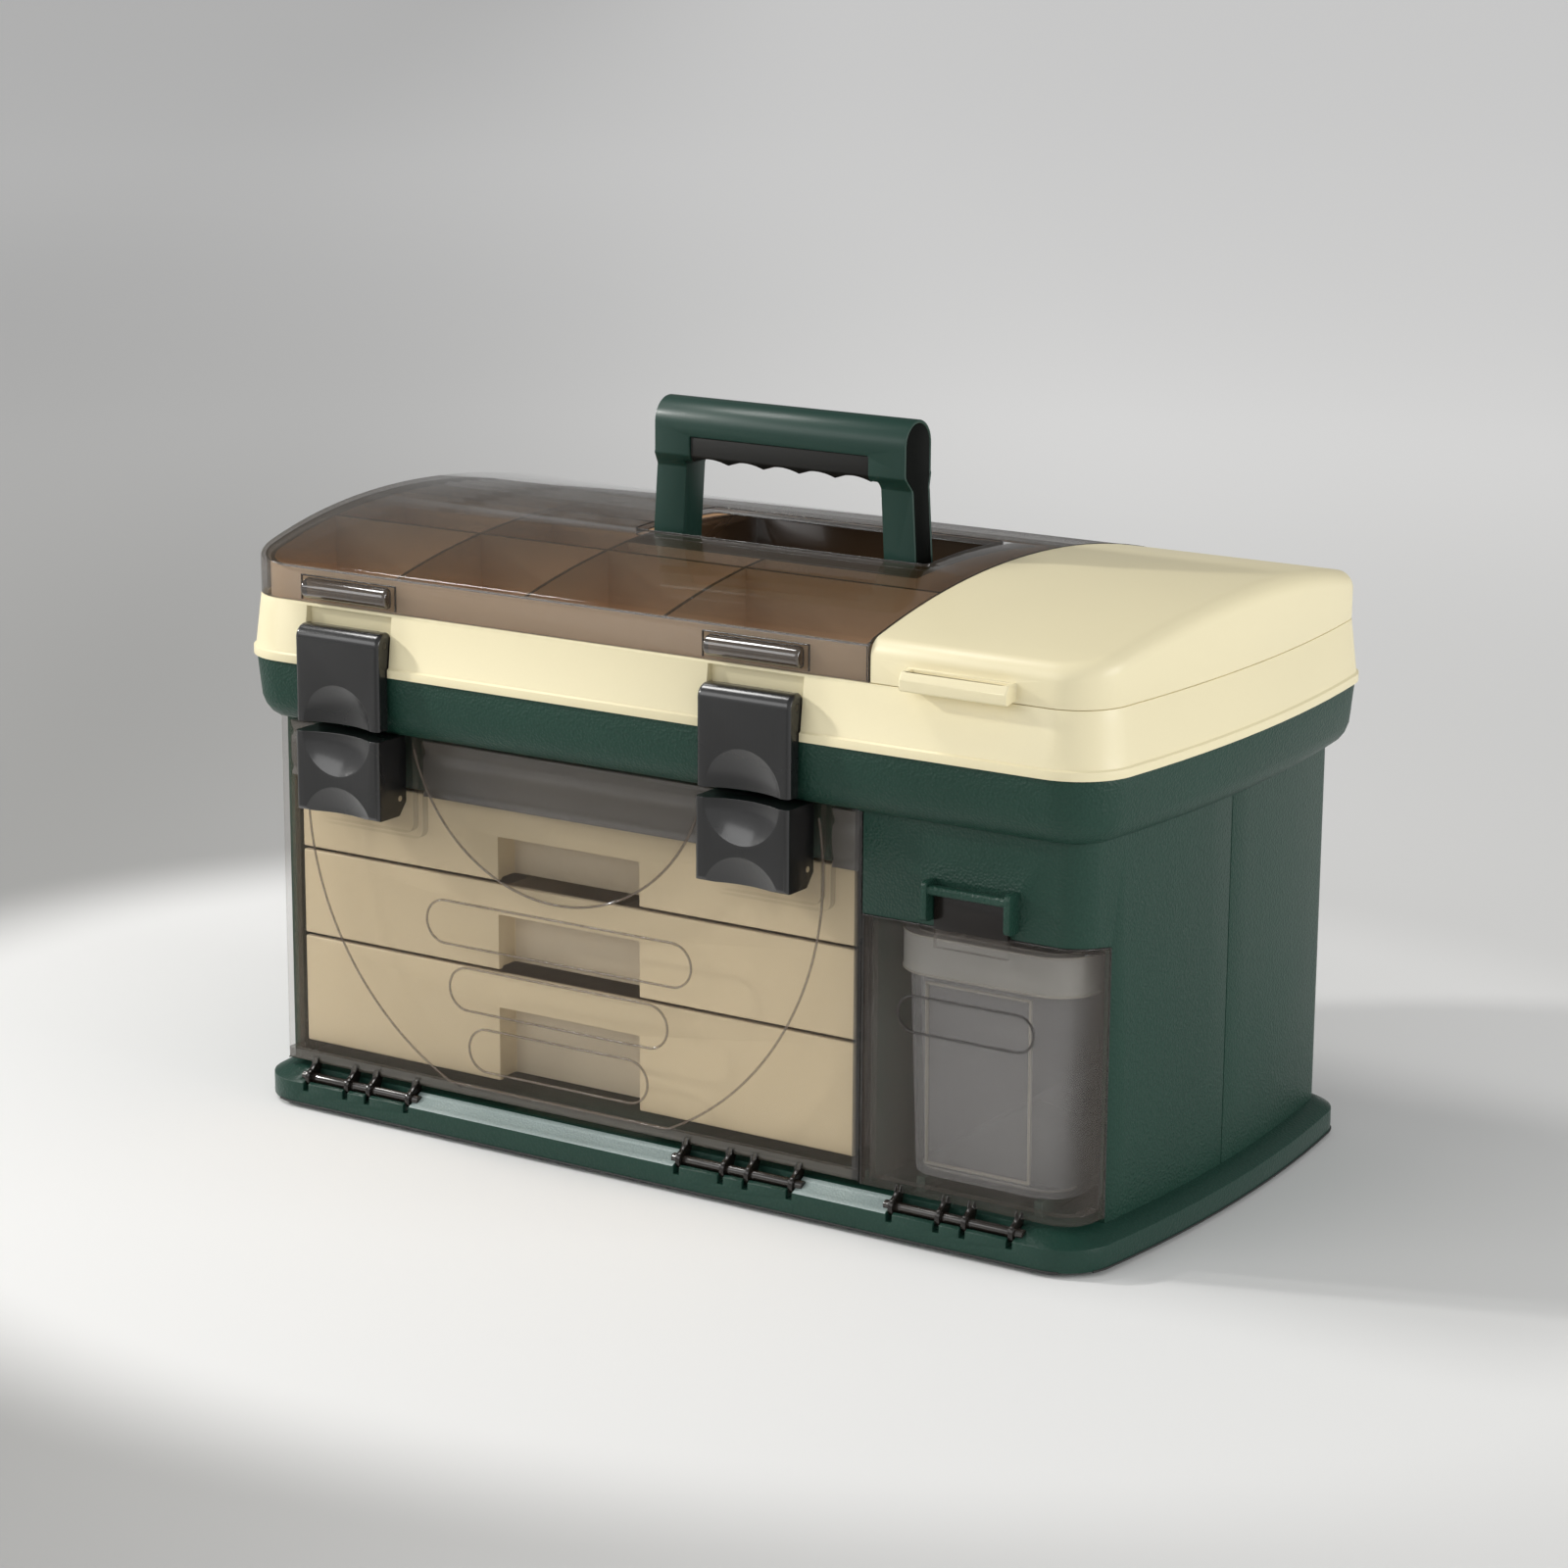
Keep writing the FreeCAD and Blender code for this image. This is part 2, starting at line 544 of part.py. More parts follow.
def bin_block(grow, z0, z1, draft):
    """Tapered block of the bin: sides grow outwards by grow and lean in by draft over their height."""
    full = BIN_TOP - BIN_BOTTOM

    def ring(z):
        lean = draft * (BIN_TOP - z) / full
        x0 = BIN_LEFT + BIN_RIM_REACH - grow + lean
        x1 = BIN_RIGHT - BIN_RIM_REACH + grow - lean
        y0 = BIN_FRONT + BIN_RIM_REACH - grow + lean / 2
        y1 = BIN_REAR - BIN_RIM_REACH + grow - lean / 2
        slab = rounded_box(x0, y0, z, x1, y1, z + 1, BIN_CORNER + grow)
        bottom = [f for f in slab.Faces if abs(f.CenterOfMass.z - z) < 0.01][0]
        return bottom.OuterWire

    return Part.makeLoft([ring(z0), ring(z1)], True, True)


def lure_bin():
    """Open bin with a deep rim band."""
    outer = bin_block(0, BIN_BOTTOM, BIN_TOP - 1, BIN_DRAFT)
    rim = bin_block(BIN_RIM_REACH, BIN_TOP - BIN_RIM, BIN_TOP, 0)
    inner = bin_block(-BIN_WALL - BIN_PANEL_DEPTH, BIN_BOTTOM + BIN_WALL, BIN_TOP + 1, BIN_DRAFT)
    front = BIN_FRONT + BIN_RIM_REACH
    panel = side_profile([(front - 3, BIN_PANEL_BOTTOM), (front + BIN_DRAFT / 2 + BIN_PANEL_DEPTH - 0.3, BIN_PANEL_BOTTOM),
                          (front + BIN_PANEL_DEPTH, BIN_PANEL_TOP), (front - 3, BIN_PANEL_TOP)], BIN_PANEL_X[0], BIN_PANEL_X[1])
    return fuse([outer, rim]).cut(inner).cut(panel)


# ---- doors ----
def ridge_ring(outer, inner):
    """Raised line between two blocks that stand on the door's face."""
    return outer.cut(inner)


def capsule_ridge(length, height, x, z):
    """Raised capsule outline on the front of a door."""
    outer = capsule(length, height, x, z, -RIDGE_HEIGHT, 0.5)
    inner = capsule(length - 2 * RIDGE_WIDTH, height - 2 * RIDGE_WIDTH, x, z, -RIDGE_HEIGHT - 1, 1)
    return ridge_ring(outer, inner)


def round_ridge(radius, x, z):
    """Raised circle on the front of a door."""
    outer = Part.makeCylinder(radius, RIDGE_HEIGHT + 0.5, Vec(x, -RIDGE_HEIGHT, z), Vec(0, 1, 0))
    inner = Part.makeCylinder(radius - RIDGE_WIDTH, RIDGE_HEIGHT + 3, Vec(x, -RIDGE_HEIGHT - 1, z), Vec(0, 1, 0))
    return ridge_ring(outer, inner)


def hinge_arms(centre):
    """Arms that join a door's bottom edge to its hinge rod."""
    arms = []
    for x in HINGE_ARM_X:
        x0 = centre + x - HINGE_ARM / 2
        x1 = x0 + HINGE_ARM
        eye = rod(DOOR_AXIS_Y, DOOR_AXIS_Z, ROD_RADIUS + 1.8, x0, x1)
        neck = side_profile([(DOOR_AXIS_Y - 1.5, DOOR_AXIS_Z + 3.4), (DOOR_AXIS_Y, DOOR_AXIS_Z),
                             (DOOR_AXIS_Y + 3.9, DOOR_AXIS_Z), (2.6, DOOR_BOTTOM + 0.5), (2.6, DOOR_BOTTOM + 2),
                             (-0.8, DOOR_BOTTOM + 3.5), (-2.2, DOOR_BOTTOM + 1.0)], x0, x1)
        arms.append(eye.fuse(neck))
    return arms


def hinge_bores(centre):
    """Running bores of the hinge arms."""
    half = HINGE_ARM_X[-1] + HINGE_ARM
    return rod(DOOR_AXIS_Y, DOOR_AXIS_Z, ROD_RADIUS + RUNNING, centre - half, centre + half)


def latch_seat(x, wall):
    """Recess of the clear door behind a lower latch, or the same block grown by the door's wall."""
    half = LATCH_WIDTH / 2 + 3.2 + wall
    y1 = SEAT_DEPTH + wall
    block = box(x - half, -5, SEAT_BOTTOM - wall, x + half, y1, DOOR_TOP + 5)
    low = edges_where(block, lambda e: abs(e.CenterOfMass.z - (SEAT_BOTTOM - wall)) < 0.01 and
                      abs(e.CenterOfMass.y - (y1 - 5) / 2) < 0.01)
    return block.makeFillet(5.0, low)


def front_door():
    """Clear door over the drawers, with latch seats, lugs, raised lines and hinge arms."""
    right = DOOR_SPLIT - DOOR_GAP
    block = box(DOOR_LEFT, 0, DOOR_BOTTOM, right, DOOR_DEPTH, DOOR_TOP)
    upright = edges_where(block, lambda e: e.CenterOfMass.y < 0.01)
    block = block.makeFillet(2.0, upright)
    hollow = box(DOOR_LEFT + DOOR_WALL + 0.4, DOOR_WALL, DOOR_BOTTOM + DOOR_SILL_HEIGHT, right - DOOR_WALL - 0.4,
                 DOOR_DEPTH + 1, DOOR_TOP - DOOR_WALL)
    door = block.cut(hollow).cut(box(DOOR_LEFT - 1, DOOR_SILL, DOOR_BOTTOM - 1, right + 1, BIG, DOOR_BOTTOM + DOOR_SILL_HEIGHT))
    ridges = [round_ridge(RING_RADIUS, ORNAMENT_X, RING_Z), round_ridge(HALF_RING_RADIUS, ORNAMENT_X, HALF_RING_Z)]
    ridges = [r.common(box(DOOR_LEFT, -5, DOOR_BOTTOM + 4, right, 5, DOOR_TOP - 4)) for r in ridges]
    for length, z in CAPSULES:
        ridges.append(capsule_ridge(length, CAPSULE_HEIGHT, ORNAMENT_X, z))
    door = fuse([door] + ridges)
    lugs = []
    for x in LATCH_CENTRES:
        door = door.fuse(latch_seat(x, DOOR_WALL).common(block)).cut(latch_seat(x, 0))
        lugs += hangers(x, LOWER_PIN_Y, LOWER_PIN_Z, HANGER_LEAN, SEAT_DEPTH + 0.5)
    arms = [arm for centre in HINGE_CENTRES for arm in hinge_arms(centre)]
    door = fuse([door] + lugs + arms)
    for x in LATCH_CENTRES:
        door = door.cut(latch_pin(x, LOWER_PIN_Y, LOWER_PIN_Z))
    for centre in HINGE_CENTRES:
        door = door.cut(hinge_bores(centre))
    return door


def side_door():
    """Clear door that wraps the corner in front of the bin."""
    left = DOOR_SPLIT + DOOR_GAP
    space = side_opening(0).common(box(left, -BIG, DOOR_BOTTOM, BIG, BIG, BIG))
    skin = prism(0, DOOR_BOTTOM, SIDE_DOOR_TOP + 1)
    door = skin.common(space)
    hollow = prism(-SIDE_DOOR_WALL, 0, BIG).common(box(left + SIDE_DOOR_WALL, 0, DOOR_BOTTOM + SIDE_DOOR_WALL, BIG, BIG, BIG))
    trim = prism(-DOOR_DEPTH + 1, DOOR_BOTTOM - 1, BIG)
    top = rod(DOOR_AXIS_Y, DOOR_AXIS_Z, SIDE_DOOR_TOP - DOOR_AXIS_Z - SIDE_DOOR_WALL, -BIG, BIG)
    door = door.cut(hollow.common(top)).cut(trim)
    door = door.cut(box(left - 1, DOOR_DEPTH - 1, 0, left + 20, BIG, BIG))
    length, z, height = SIDE_CAPSULE
    ridge = capsule_ridge(length, height, SIDE_HINGE_CENTRE + 1.5, z)
    tongue = box(CATCH_X - TONGUE_HALF, -2.8, SIDE_DOOR_TOP - 6, CATCH_X + TONGUE_HALF, -0.5, TONGUE_TOP)
    root = box(CATCH_X - TONGUE_HALF, -2.8, SIDE_DOOR_TOP - 8, CATCH_X + TONGUE_HALF, 0.5, SIDE_DOOR_TOP - 3)
    door = fuse([door, ridge, tongue, root] + hinge_arms(SIDE_HINGE_CENTRE))
    return door.cut(hinge_bores(SIDE_HINGE_CENTRE))


# ---- latches ----
def scoop(x, front, z, radius, depth):
    """Ball that cuts a round thumb scoop of a given radius and depth into a latch face."""
    ball = (radius ** 2 + depth ** 2) / (2 * depth)
    return Part.makeSphere(ball, Vec(x, -front - ball + depth, z))


def latch_pin(x, y, z):
    """Pin of a latch, flush with the latch's sides."""
    half = LATCH_WIDTH / 2
    return rod(y, z, LATCH_PIN_RADIUS, x - half, x + half)


def hanger_spans(x, gap):
    """Width of each of the two lugs inside a latch, with a gap on both sides."""
    outer = LATCH_WIDTH / 2 - LATCH_WALL - HANGER_GAP
    return [(x - outer - gap, x - outer + HANGER + gap), (x + outer - HANGER - gap, x + outer + gap)]


def leaning_arm(y, z, x0, x1, width, lean, reach):
    """Bar that leaves an axis backwards, leaning up by an angle, as far as reach."""
    turn = math.radians(lean)
    run, rise = math.cos(turn), math.sin(turn)
    half = width / 2
    points = [(y - rise * half, z + run * half), (y + run * reach - rise * half, z + rise * reach + run * half),
              (y + run * reach + rise * half, z + rise * reach - run * half), (y + rise * half, z - run * half)]
    return side_profile(points, x0, x1)


def hangers(x, y, z, lean, back):
    """Two lugs inside a latch that hold its pin: a round eye on an arm that leans down or up to the wall at back."""
    lugs = []
    for x0, x1 in hanger_spans(x, 0):
        arm = leaning_arm(y, z, x0, x1, HANGER_ARM, lean, 30)
        arm = arm.common(box(x0 - 1, y - 20, 0, x1 + 1, back, BIG))
        lugs.append(arm.fuse(rod(y, z, HANGER_RADIUS, x0, x1)))
    return lugs


def hanger_slots(x, y, z, lean):
    """Room in a latch for its lugs, from rest to fully open."""
    room = HANGER_RADIUS + HANGER_GAP
    width = HANGER_ARM + 2 * HANGER_GAP
    slots = []
    for x0, x1 in hanger_spans(x, HANGER_GAP):
        slots.append(rod(y, z, room, x0, x1))
        for step in range(5):
            slots.append(leaning_arm(y, z, x0, x1, width, lean - 2 * lean * step / 4, 30))
    return fuse(slots)


def upper_latch(x):
    """Latch that hangs from the lid over the rim."""
    half = LATCH_WIDTH / 2
    front, back = -UPPER_LATCH_FRONT, -LATCH_TOP_BACK
    points = [(front, UPPER_LATCH_BOTTOM), (front, UPPER_LATCH_TOP), (back, UPPER_LATCH_TOP), (back, RIM_TOP + 7),
              (-LATCH_REST, RIM_TOP + 2), (-LATCH_REST, UPPER_LATCH_BOTTOM)]
    body = side_profile(points, x - half, x + half)
    top = edges_where(body, lambda e: abs(e.CenterOfMass.z - UPPER_LATCH_TOP) < 0.01 and abs(e.CenterOfMass.x - x) < 1 and
                      abs(e.CenterOfMass.y - front) < 0.01)
    body = body.makeFillet(LATCH_CROWN, top)
    rear = edges_where(body, lambda e: abs(e.CenterOfMass.z - UPPER_LATCH_TOP) < 0.01 and abs(e.CenterOfMass.x - x) < 1 and
                       abs(e.CenterOfMass.y - back) < 0.01)
    body = body.makeFillet(LATCH_HEEL, rear)
    face = edges_where(body, lambda e: abs(e.CenterOfMass.x - x) > 1 and e.CenterOfMass.y < front + LATCH_CROWN and
                       e.CenterOfMass.z > UPPER_LATCH_BOTTOM + 1)
    body = body.makeFillet(LATCH_EDGE, face)
    pocket = box(x - half + LATCH_WALL, -LATCH_REST - 2.4, UPPER_LATCH_BOTTOM + SCOOP_RADIUS, x + half - LATCH_WALL, 0,
                 UPPER_PIN_Z - 6)
    body = body.cut(pocket)
    body = body.cut(scoop(x, UPPER_LATCH_FRONT, UPPER_LATCH_BOTTOM - 0.5, SCOOP_RADIUS, SCOOP_DEPTH))
    body = body.cut(hanger_slots(x, UPPER_PIN_Y, UPPER_PIN_Z, -HANGER_LEAN))
    return body.cut(rod(UPPER_PIN_Y, UPPER_PIN_Z, LATCH_PIN_RADIUS + RUNNING, x - half - 1, x + half + 1))


def lower_latch(x):
    """Latch on the clear door, under the upper latch."""
    half = LATCH_WIDTH / 2
    front, back = -LOWER_LATCH_FRONT, -LOWER_LATCH_BACK
    points = [(front, LOWER_LATCH_BOTTOM), (front, LOWER_LATCH_TOP), (back, LOWER_LATCH_TOP), (back, LOWER_LATCH_BOTTOM + 6),
              (back - 5, LOWER_LATCH_BOTTOM)]
    body = side_profile(points, x - half, x + half)
    face = edges_where(body, lambda e: abs(e.CenterOfMass.y - front) < 0.02 and e.CenterOfMass.z < LOWER_LATCH_TOP - 1)
    body = body.makeFillet(LATCH_EDGE, face)
    pocket = box(x - half + LATCH_WALL, front + 8.6, LOWER_PIN_Z + 5, x + half - LATCH_WALL, 1, LOWER_LATCH_TOP - LATCH_WALL)
    body = body.cut(pocket)
    body = body.cut(scoop(x, LOWER_LATCH_FRONT, LOWER_LATCH_TOP + 0.5, SCOOP_RADIUS, SCOOP_DEPTH))
    body = body.cut(scoop(x, LOWER_LATCH_FRONT, LOWER_LATCH_BOTTOM - FINGER_SCOOP_DROP, FINGER_SCOOP_RADIUS, SCOOP_DEPTH))
    body = body.cut(hanger_slots(x, LOWER_PIN_Y, LOWER_PIN_Z, HANGER_LEAN))
    return body.cut(rod(LOWER_PIN_Y, LOWER_PIN_Z, LATCH_PIN_RADIUS + RUNNING, x - half - 1, x + half + 1))


# ---- lid ----
def cover_knuckles(hinges, fixed):
    """Knuckles of a cover hinge: the outer pair is fixed to the lid, the middle one turns with the cover."""
    parts = []
    y, z = COVER_AXIS_Y, COVER_AXIS_Z
    wall = CASE_DEPTH + BAND_OVERHANG
    for x in hinges:
        if not fixed:
            web = box(x - KNUCKLE_HALF, wall - 1.0, z + 0.8, x + KNUCKLE_HALF, y, z + COVER_KNUCKLE)
            parts.append(knuckle(y, z, COVER_KNUCKLE, COVER_PIN_RADIUS + RUNNING, x - KNUCKLE_HALF, x + KNUCKLE_HALF, web))
            continue
        for side in (-1, 1):
            inner = x + side * (KNUCKLE_HALF + KNUCKLE_GAP)
            outer = inner + side * KNUCKLE_HALF
            x0, x1 = min(inner, outer), max(inner, outer)
            web = box(x0, wall - 0.5, BAND_TOP - 5.5, x1, y, z - 1.0)
            parts.append(knuckle(y, z, COVER_KNUCKLE, COVER_PIN_RADIUS, x0, x1, web))
    return parts


def cover_pin(x):
    """Pin of one cover hinge."""
    half = 2 * KNUCKLE_HALF + KNUCKLE_GAP
    return rod(COVER_AXIS_Y, COVER_AXIS_Z, COVER_PIN_RADIUS, x - half, x + half)


def lid_hinge_pin(x):
    """Pin of one lid hinge."""
    half = 3 * KNUCKLE_HALF + KNUCKLE_GAP
    return rod(LID_AXIS_Y, RIM_TOP, LID_PIN_RADIUS, x - half, x + half)


def lid_shell():
    """Lid frame: lip, flared band, tray ledge, side compartment and latch notches."""
    low = RIM_TOP + LID_GAP
    lip_top = low + LIP_HEIGHT
    outer = stack([(low, LIP_OVERHANG), (lip_top, LIP_OVERHANG), (lip_top + 0.6, LIP_OVERHANG - LIP_STEP),
                   (BAND_TOP, BAND_OVERHANG)])
    hollow = Part.makeLoft([outline(LIP_OVERHANG - LID_WALL, low - 1), outline(BAND_OVERHANG - LID_WALL, BAND_TOP + 1)],
                           True, True)
    shell = outer.cut(hollow)
    ledge = prism(BAND_OVERHANG, LEDGE_BOTTOM, LEDGE_BOTTOM + LEDGE_THICK)
    opening = prism(-LEDGE_REACH, 0, BIG).common(box(-BIG, -BIG, 0, COVER_SPLIT - LEDGE_REACH, BIG, BIG))
    ledge = ledge.cut(opening)
    wall = box(COVER_SPLIT - LID_PARTITION / 2, -3, LEDGE_BOTTOM, COVER_SPLIT + LID_PARTITION / 2, CASE_DEPTH + 3, BAND_TOP)
    pieces = [shell, ledge, wall.common(prism(BAND_OVERHANG - LID_WALL + 1, 0, BIG))]
    for x in LATCH_CENTRES:
        half = LATCH_WIDTH / 2 + 5
        pieces.append(box(x - half, -NOTCH_BACK - 1, LEDGE_BOTTOM, x + half, -NOTCH_BACK + NOTCH_WALL, BAND_TOP))
    shell = fuse(pieces)
    lugs = []
    for x in LATCH_CENTRES:
        half = LATCH_WIDTH / 2 + LATCH_SIDE_GAP
        shell = shell.cut(box(x - half, -BIG, low - 1, x + half, -NOTCH_BACK, BAND_TOP - 1.2))
        lugs += hangers(x, UPPER_PIN_Y, UPPER_PIN_Z, -HANGER_LEAN, 0.5 - NOTCH_BACK)
    knuckles = cover_knuckles(COVER_HINGES + (SIDE_COVER_HINGE,), True)
    for x in LID_HINGES:
        web = box(x - KNUCKLE_HALF, CASE_DEPTH + LIP_OVERHANG - 1, low + 0.4, x + KNUCKLE_HALF, LID_AXIS_Y, lip_top)
        knuckles.append(knuckle(LID_AXIS_Y, RIM_TOP, LID_KNUCKLE, LID_PIN_RADIUS + RUNNING, x - KNUCKLE_HALF,
                                x + KNUCKLE_HALF, web))
    shell = fuse([shell] + lugs + knuckles)
    for x in LATCH_CENTRES:
        shell = shell.cut(latch_pin(x, UPPER_PIN_Y, UPPER_PIN_Z))
    for x in LID_HINGES:
        shell = shell.cut(rod(LID_AXIS_Y, RIM_TOP, LID_PIN_RADIUS + RUNNING, x - KNUCKLE_HALF, x + KNUCKLE_HALF))
    return shell


def cover_block(offset, crest, low, x0, x1):
    """Arched block of a cover between two x values: its sides follow the plan outline."""
    block = arch(crest, CREST_RADIUS + crest - CREST, low - 1, offset + 20, x0, x1)
    return prism(offset, low, BIG).common(block)


def upper_edges(shape, low, split):
    """Edges round the arched top of a cover, without the one at its straight end."""
    return edges_where(shape, lambda e: e.BoundBox.ZMin > low + 2 and abs(e.CenterOfMass.x - split) > 0.1)


def smoke_cover():
    """Clear arched cover with a slot for the handle and two snap tabs."""
    low = BAND_TOP + COVER_GAP
    right = COVER_SPLIT - COVER_GAP
    outer = cover_block(BAND_OVERHANG, CREST, low, -BIG, right)
    outer = outer.makeFillet(4.0, upper_edges(outer, low, right))
    inner = cover_block(BAND_OVERHANG - COVER_WALL, CREST - COVER_WALL, low - 2, -BIG, right - COVER_WALL)
    cover = outer.cut(inner)
    slot = rounded_box(SLOT_X[0], SLOT_Y[0], CREST - 20, SLOT_X[1], SLOT_Y[1], CREST + 10, SLOT_CORNER)
    cover = cover.cut(slot)
    pieces = [cover] + cover_knuckles(COVER_HINGES, False)
    for x in LATCH_CENTRES:
        pieces.append(snap_tab(x, TAB_HALF, low + 2.2, low + 11.2, TAB_REACH))
    cover = fuse(pieces)
    for x in COVER_HINGES:
        cover = cover.cut(rod(COVER_AXIS_Y, COVER_AXIS_Z, COVER_PIN_RADIUS + RUNNING, x - KNUCKLE_HALF, x + KNUCKLE_HALF))
    return cover


def snap_tab(x, half, z0, z1, reach):
    """Finger tab on the front of a cover: a round bar with soft ends on a low plate."""
    face = -BAND_OVERHANG
    radius = (z1 - z0) / 2
    bar = rod(face - reach + radius, (z0 + z1) / 2, radius, x - half, x + half)
    bar = bar.makeFillet(TAB_END, edges_where(bar, lambda e: e.Length > 2 * radius and abs(e.CenterOfMass.x - x) > half - 0.1))
    bar = bar.common(box(x - half, face - reach - 1, z0, x + half, face + 1, z1))
    plate = box(x - half - TAB_PLATE, face - 0.6, z0 - 1.0, x + half + TAB_PLATE, face + 1, z1 + 1.0)
    return bar.fuse(plate)


def side_cover():
    """Solid arched cover over the side compartment."""
    low = BAND_TOP + COVER_GAP
    left = COVER_SPLIT + COVER_GAP
    outer = cover_block(BAND_OVERHANG, CREST, low, left, BIG)
    outer = outer.makeFillet(8.0, upper_edges(outer, low, left))
    inner = cover_block(BAND_OVERHANG - COVER_WALL, CREST - COVER_WALL, low - 2, left + COVER_WALL, BIG)
    inner = inner.makeFillet(5.0, upper_edges(inner, low, left + COVER_WALL))
    cover = outer.cut(inner)
    pieces = [cover] + cover_knuckles((SIDE_COVER_HINGE,), False)
    pieces.append(lift_tab(SIDE_HINGE_CENTRE + 2.5, 25.0, low - 0.2))
    cover = fuse(pieces)
    return cover.cut(rod(COVER_AXIS_Y, COVER_AXIS_Z, COVER_PIN_RADIUS + RUNNING, SIDE_COVER_HINGE - KNUCKLE_HALF,
                         SIDE_COVER_HINGE + KNUCKLE_HALF))


def lift_tab(x, half, z0):
    """Finger tab of the side cover: a ledge with a raised front edge."""
    face = -BAND_OVERHANG
    reach = 8.0
    points = [(face + 1, z0 + 1.5), (face - reach + 1, z0 + 0.2), (face - reach, z0 + 1), (face - reach, z0 + 5),
              (face - reach + 2, z0 + 8.2), (face + 1, z0 + 8.8)]
    tab = side_profile(points, x - half, x + half)
    upright = edges_where(tab, lambda e: abs(e.CenterOfMass.x - x) > half - 0.1 and e.CenterOfMass.y < face - 3)
    tab = tab.makeFillet(0.8, upright)
    trough = box(x - half + 2.6, face - reach + 2.4, z0 + 4.4, x + half - 2.6, face - 1.2, z0 + 20)
    return tab.cut(trough)


def top_tray():
    """Divided tray in the lid, with a well for the folded handle."""
    floor = LEDGE_BOTTOM + LEDGE_THICK
    crest = CREST - COVER_WALL - TRAY_BELOW_COVER
    block = cover_block(TRAY_OVERHANG, crest, floor, -BIG, TRAY_RIGHT)
    inner = prism(TRAY_OVERHANG - TRAY_WALL, floor + TRAY_FLOOR, BIG)
    inner = inner.common(box(-BIG, -BIG, 0, TRAY_RIGHT - TRAY_WALL, BIG, BIG))
    walls = []
    half = TRAY_WALL / 2
    well_left, well_right = WELL_X[0] - WELL_WALL, WELL_X[1] + WELL_WALL
    well_front, well_back = WELL_Y[0] - WELL_WALL, WELL_Y[1] + WELL_WALL
    for x in TRAY_COLUMNS:
        back = well_front + half if x > well_left else BIG
        walls.append(box(x - half, -BIG, 0, x + half, back, BIG))
    walls.append(box(-BIG, TRAY_ROWS[0] - half, 0, BIG, TRAY_ROWS[0] + half, BIG))
    for y in TRAY_ROWS[1:]:
        walls.append(box(-BIG, y - half, 0, well_left + half, y + half, BIG))
    walls.append(box(TRAY_COLUMNS[-1] - half, well_back - half, 0, TRAY_COLUMNS[-1] + half, BIG, BIG))
    walls.append(box(well_left, well_front, 0, well_right, well_back, BIG))
    cells = inner
    for wall in walls:
        cells = cells.cut(wall)
    tray = block.cut(cells)
    tray = tray.cut(box(WELL_X[0], WELL_Y[0], WELL_FLOOR, WELL_X[1], WELL_Y[1], BIG))
    tray = tray.cut(box(WELL_X[0], WELL_Y[0], 0, WELL_X[1], WELL_Y[1], WELL_FLOOR - 2.2))
    return tray.cut(rod(HANDLE_AXIS_Y, HANDLE_AXIS_Z, HANDLE_PIN_RADIUS, WELL_X[0] - 5, WELL_X[1] + 5))


# ---- handle ----
def handle_front_view(y0, y1):
    """Handle seen from the front: two legs that splay outwards and a beam."""
    foot = HANDLE_AXIS_Z - LEG_DEPTH
    x = HANDLE_X
    inner = [(LEG_HALF_FOOT - LEG_WIDTH, foot), (LEG_HALF_TOP - LEG_WIDTH, BEAM_BOTTOM),
             (-LEG_HALF_TOP + LEG_WIDTH, BEAM_BOTTOM), (-LEG_HALF_FOOT + LEG_WIDTH, foot)]
    outer = handle_flank(0)
    left = [(-px, pz) for px, pz in outer]
    corners = [Vec(x + px, y0, pz) for px, pz in left + outer[::-1] + inner]
    face = Part.Face(Part.makePolygon(corners + corners[:1]))
    return face.extrude(Vec(0, y1 - y0, 0))


def handle_flank(inset):
    """Points (x, z) down the outer side of the handle, from its foot to its top, moved inwards by inset."""
    foot = HANDLE_AXIS_Z - LEG_DEPTH
    return [(LEG_HALF_FOOT - inset, foot), (LEG_HALF_TOP - inset, BEAM_BOTTOM - 4), (BEAM_HALF - inset, BEAM_BOTTOM + 4),
            (BEAM_HALF - inset, HANDLE_TOP + 1)]


def handle_side_view(x0, x1, inset):
    """Handle seen from its end: a round-topped beam on narrower legs with round feet."""
    middle = HANDLE_FRONT + HANDLE_DEPTH / 2
    radius = HANDLE_DEPTH / 2 - inset
    top = HANDLE_TOP - HANDLE_DEPTH / 2
    leg = LEG_DEPTH / 2 - inset
    leg_middle = LEG_FRONT + LEG_DEPTH / 2
    waist = BEAM_BOTTOM - 3
    foot = HANDLE_AXIS_Z
    a = Vec(x0, leg_middle - leg, foot)
    b = Vec(x0, leg_middle - leg, waist)
    c = Vec(x0, middle - radius, waist + COLLAR)
    d = Vec(x0, middle - radius, top)
    e = Vec(x0, middle + radius, top)
    f = Vec(x0, middle + radius, waist + COLLAR)
    g = Vec(x0, leg_middle + leg, waist)
    h = Vec(x0, leg_middle + leg, foot)
    edges = [line(a, b), line(b, c), line(c, d), arc(d, Vec(x0, middle, top + radius), e), line(e, f), line(f, g),
             line(g, h), arc(h, Vec(x0, leg_middle, foot - leg), a)]
    return Part.Face(Part.Wire(edges)).extrude(Vec(x1 - x0, 0, 0))


def handle_solid():
    """Whole handle before its grip and side inserts are let in."""
    front = handle_front_view(HANDLE_FRONT - 5, HANDLE_FRONT + HANDLE_DEPTH + 5)
    side = handle_side_view(HANDLE_X - LEG_HALF_FOOT - 5, HANDLE_X + LEG_HALF_FOOT + 5, 0)
    return front.common(side)


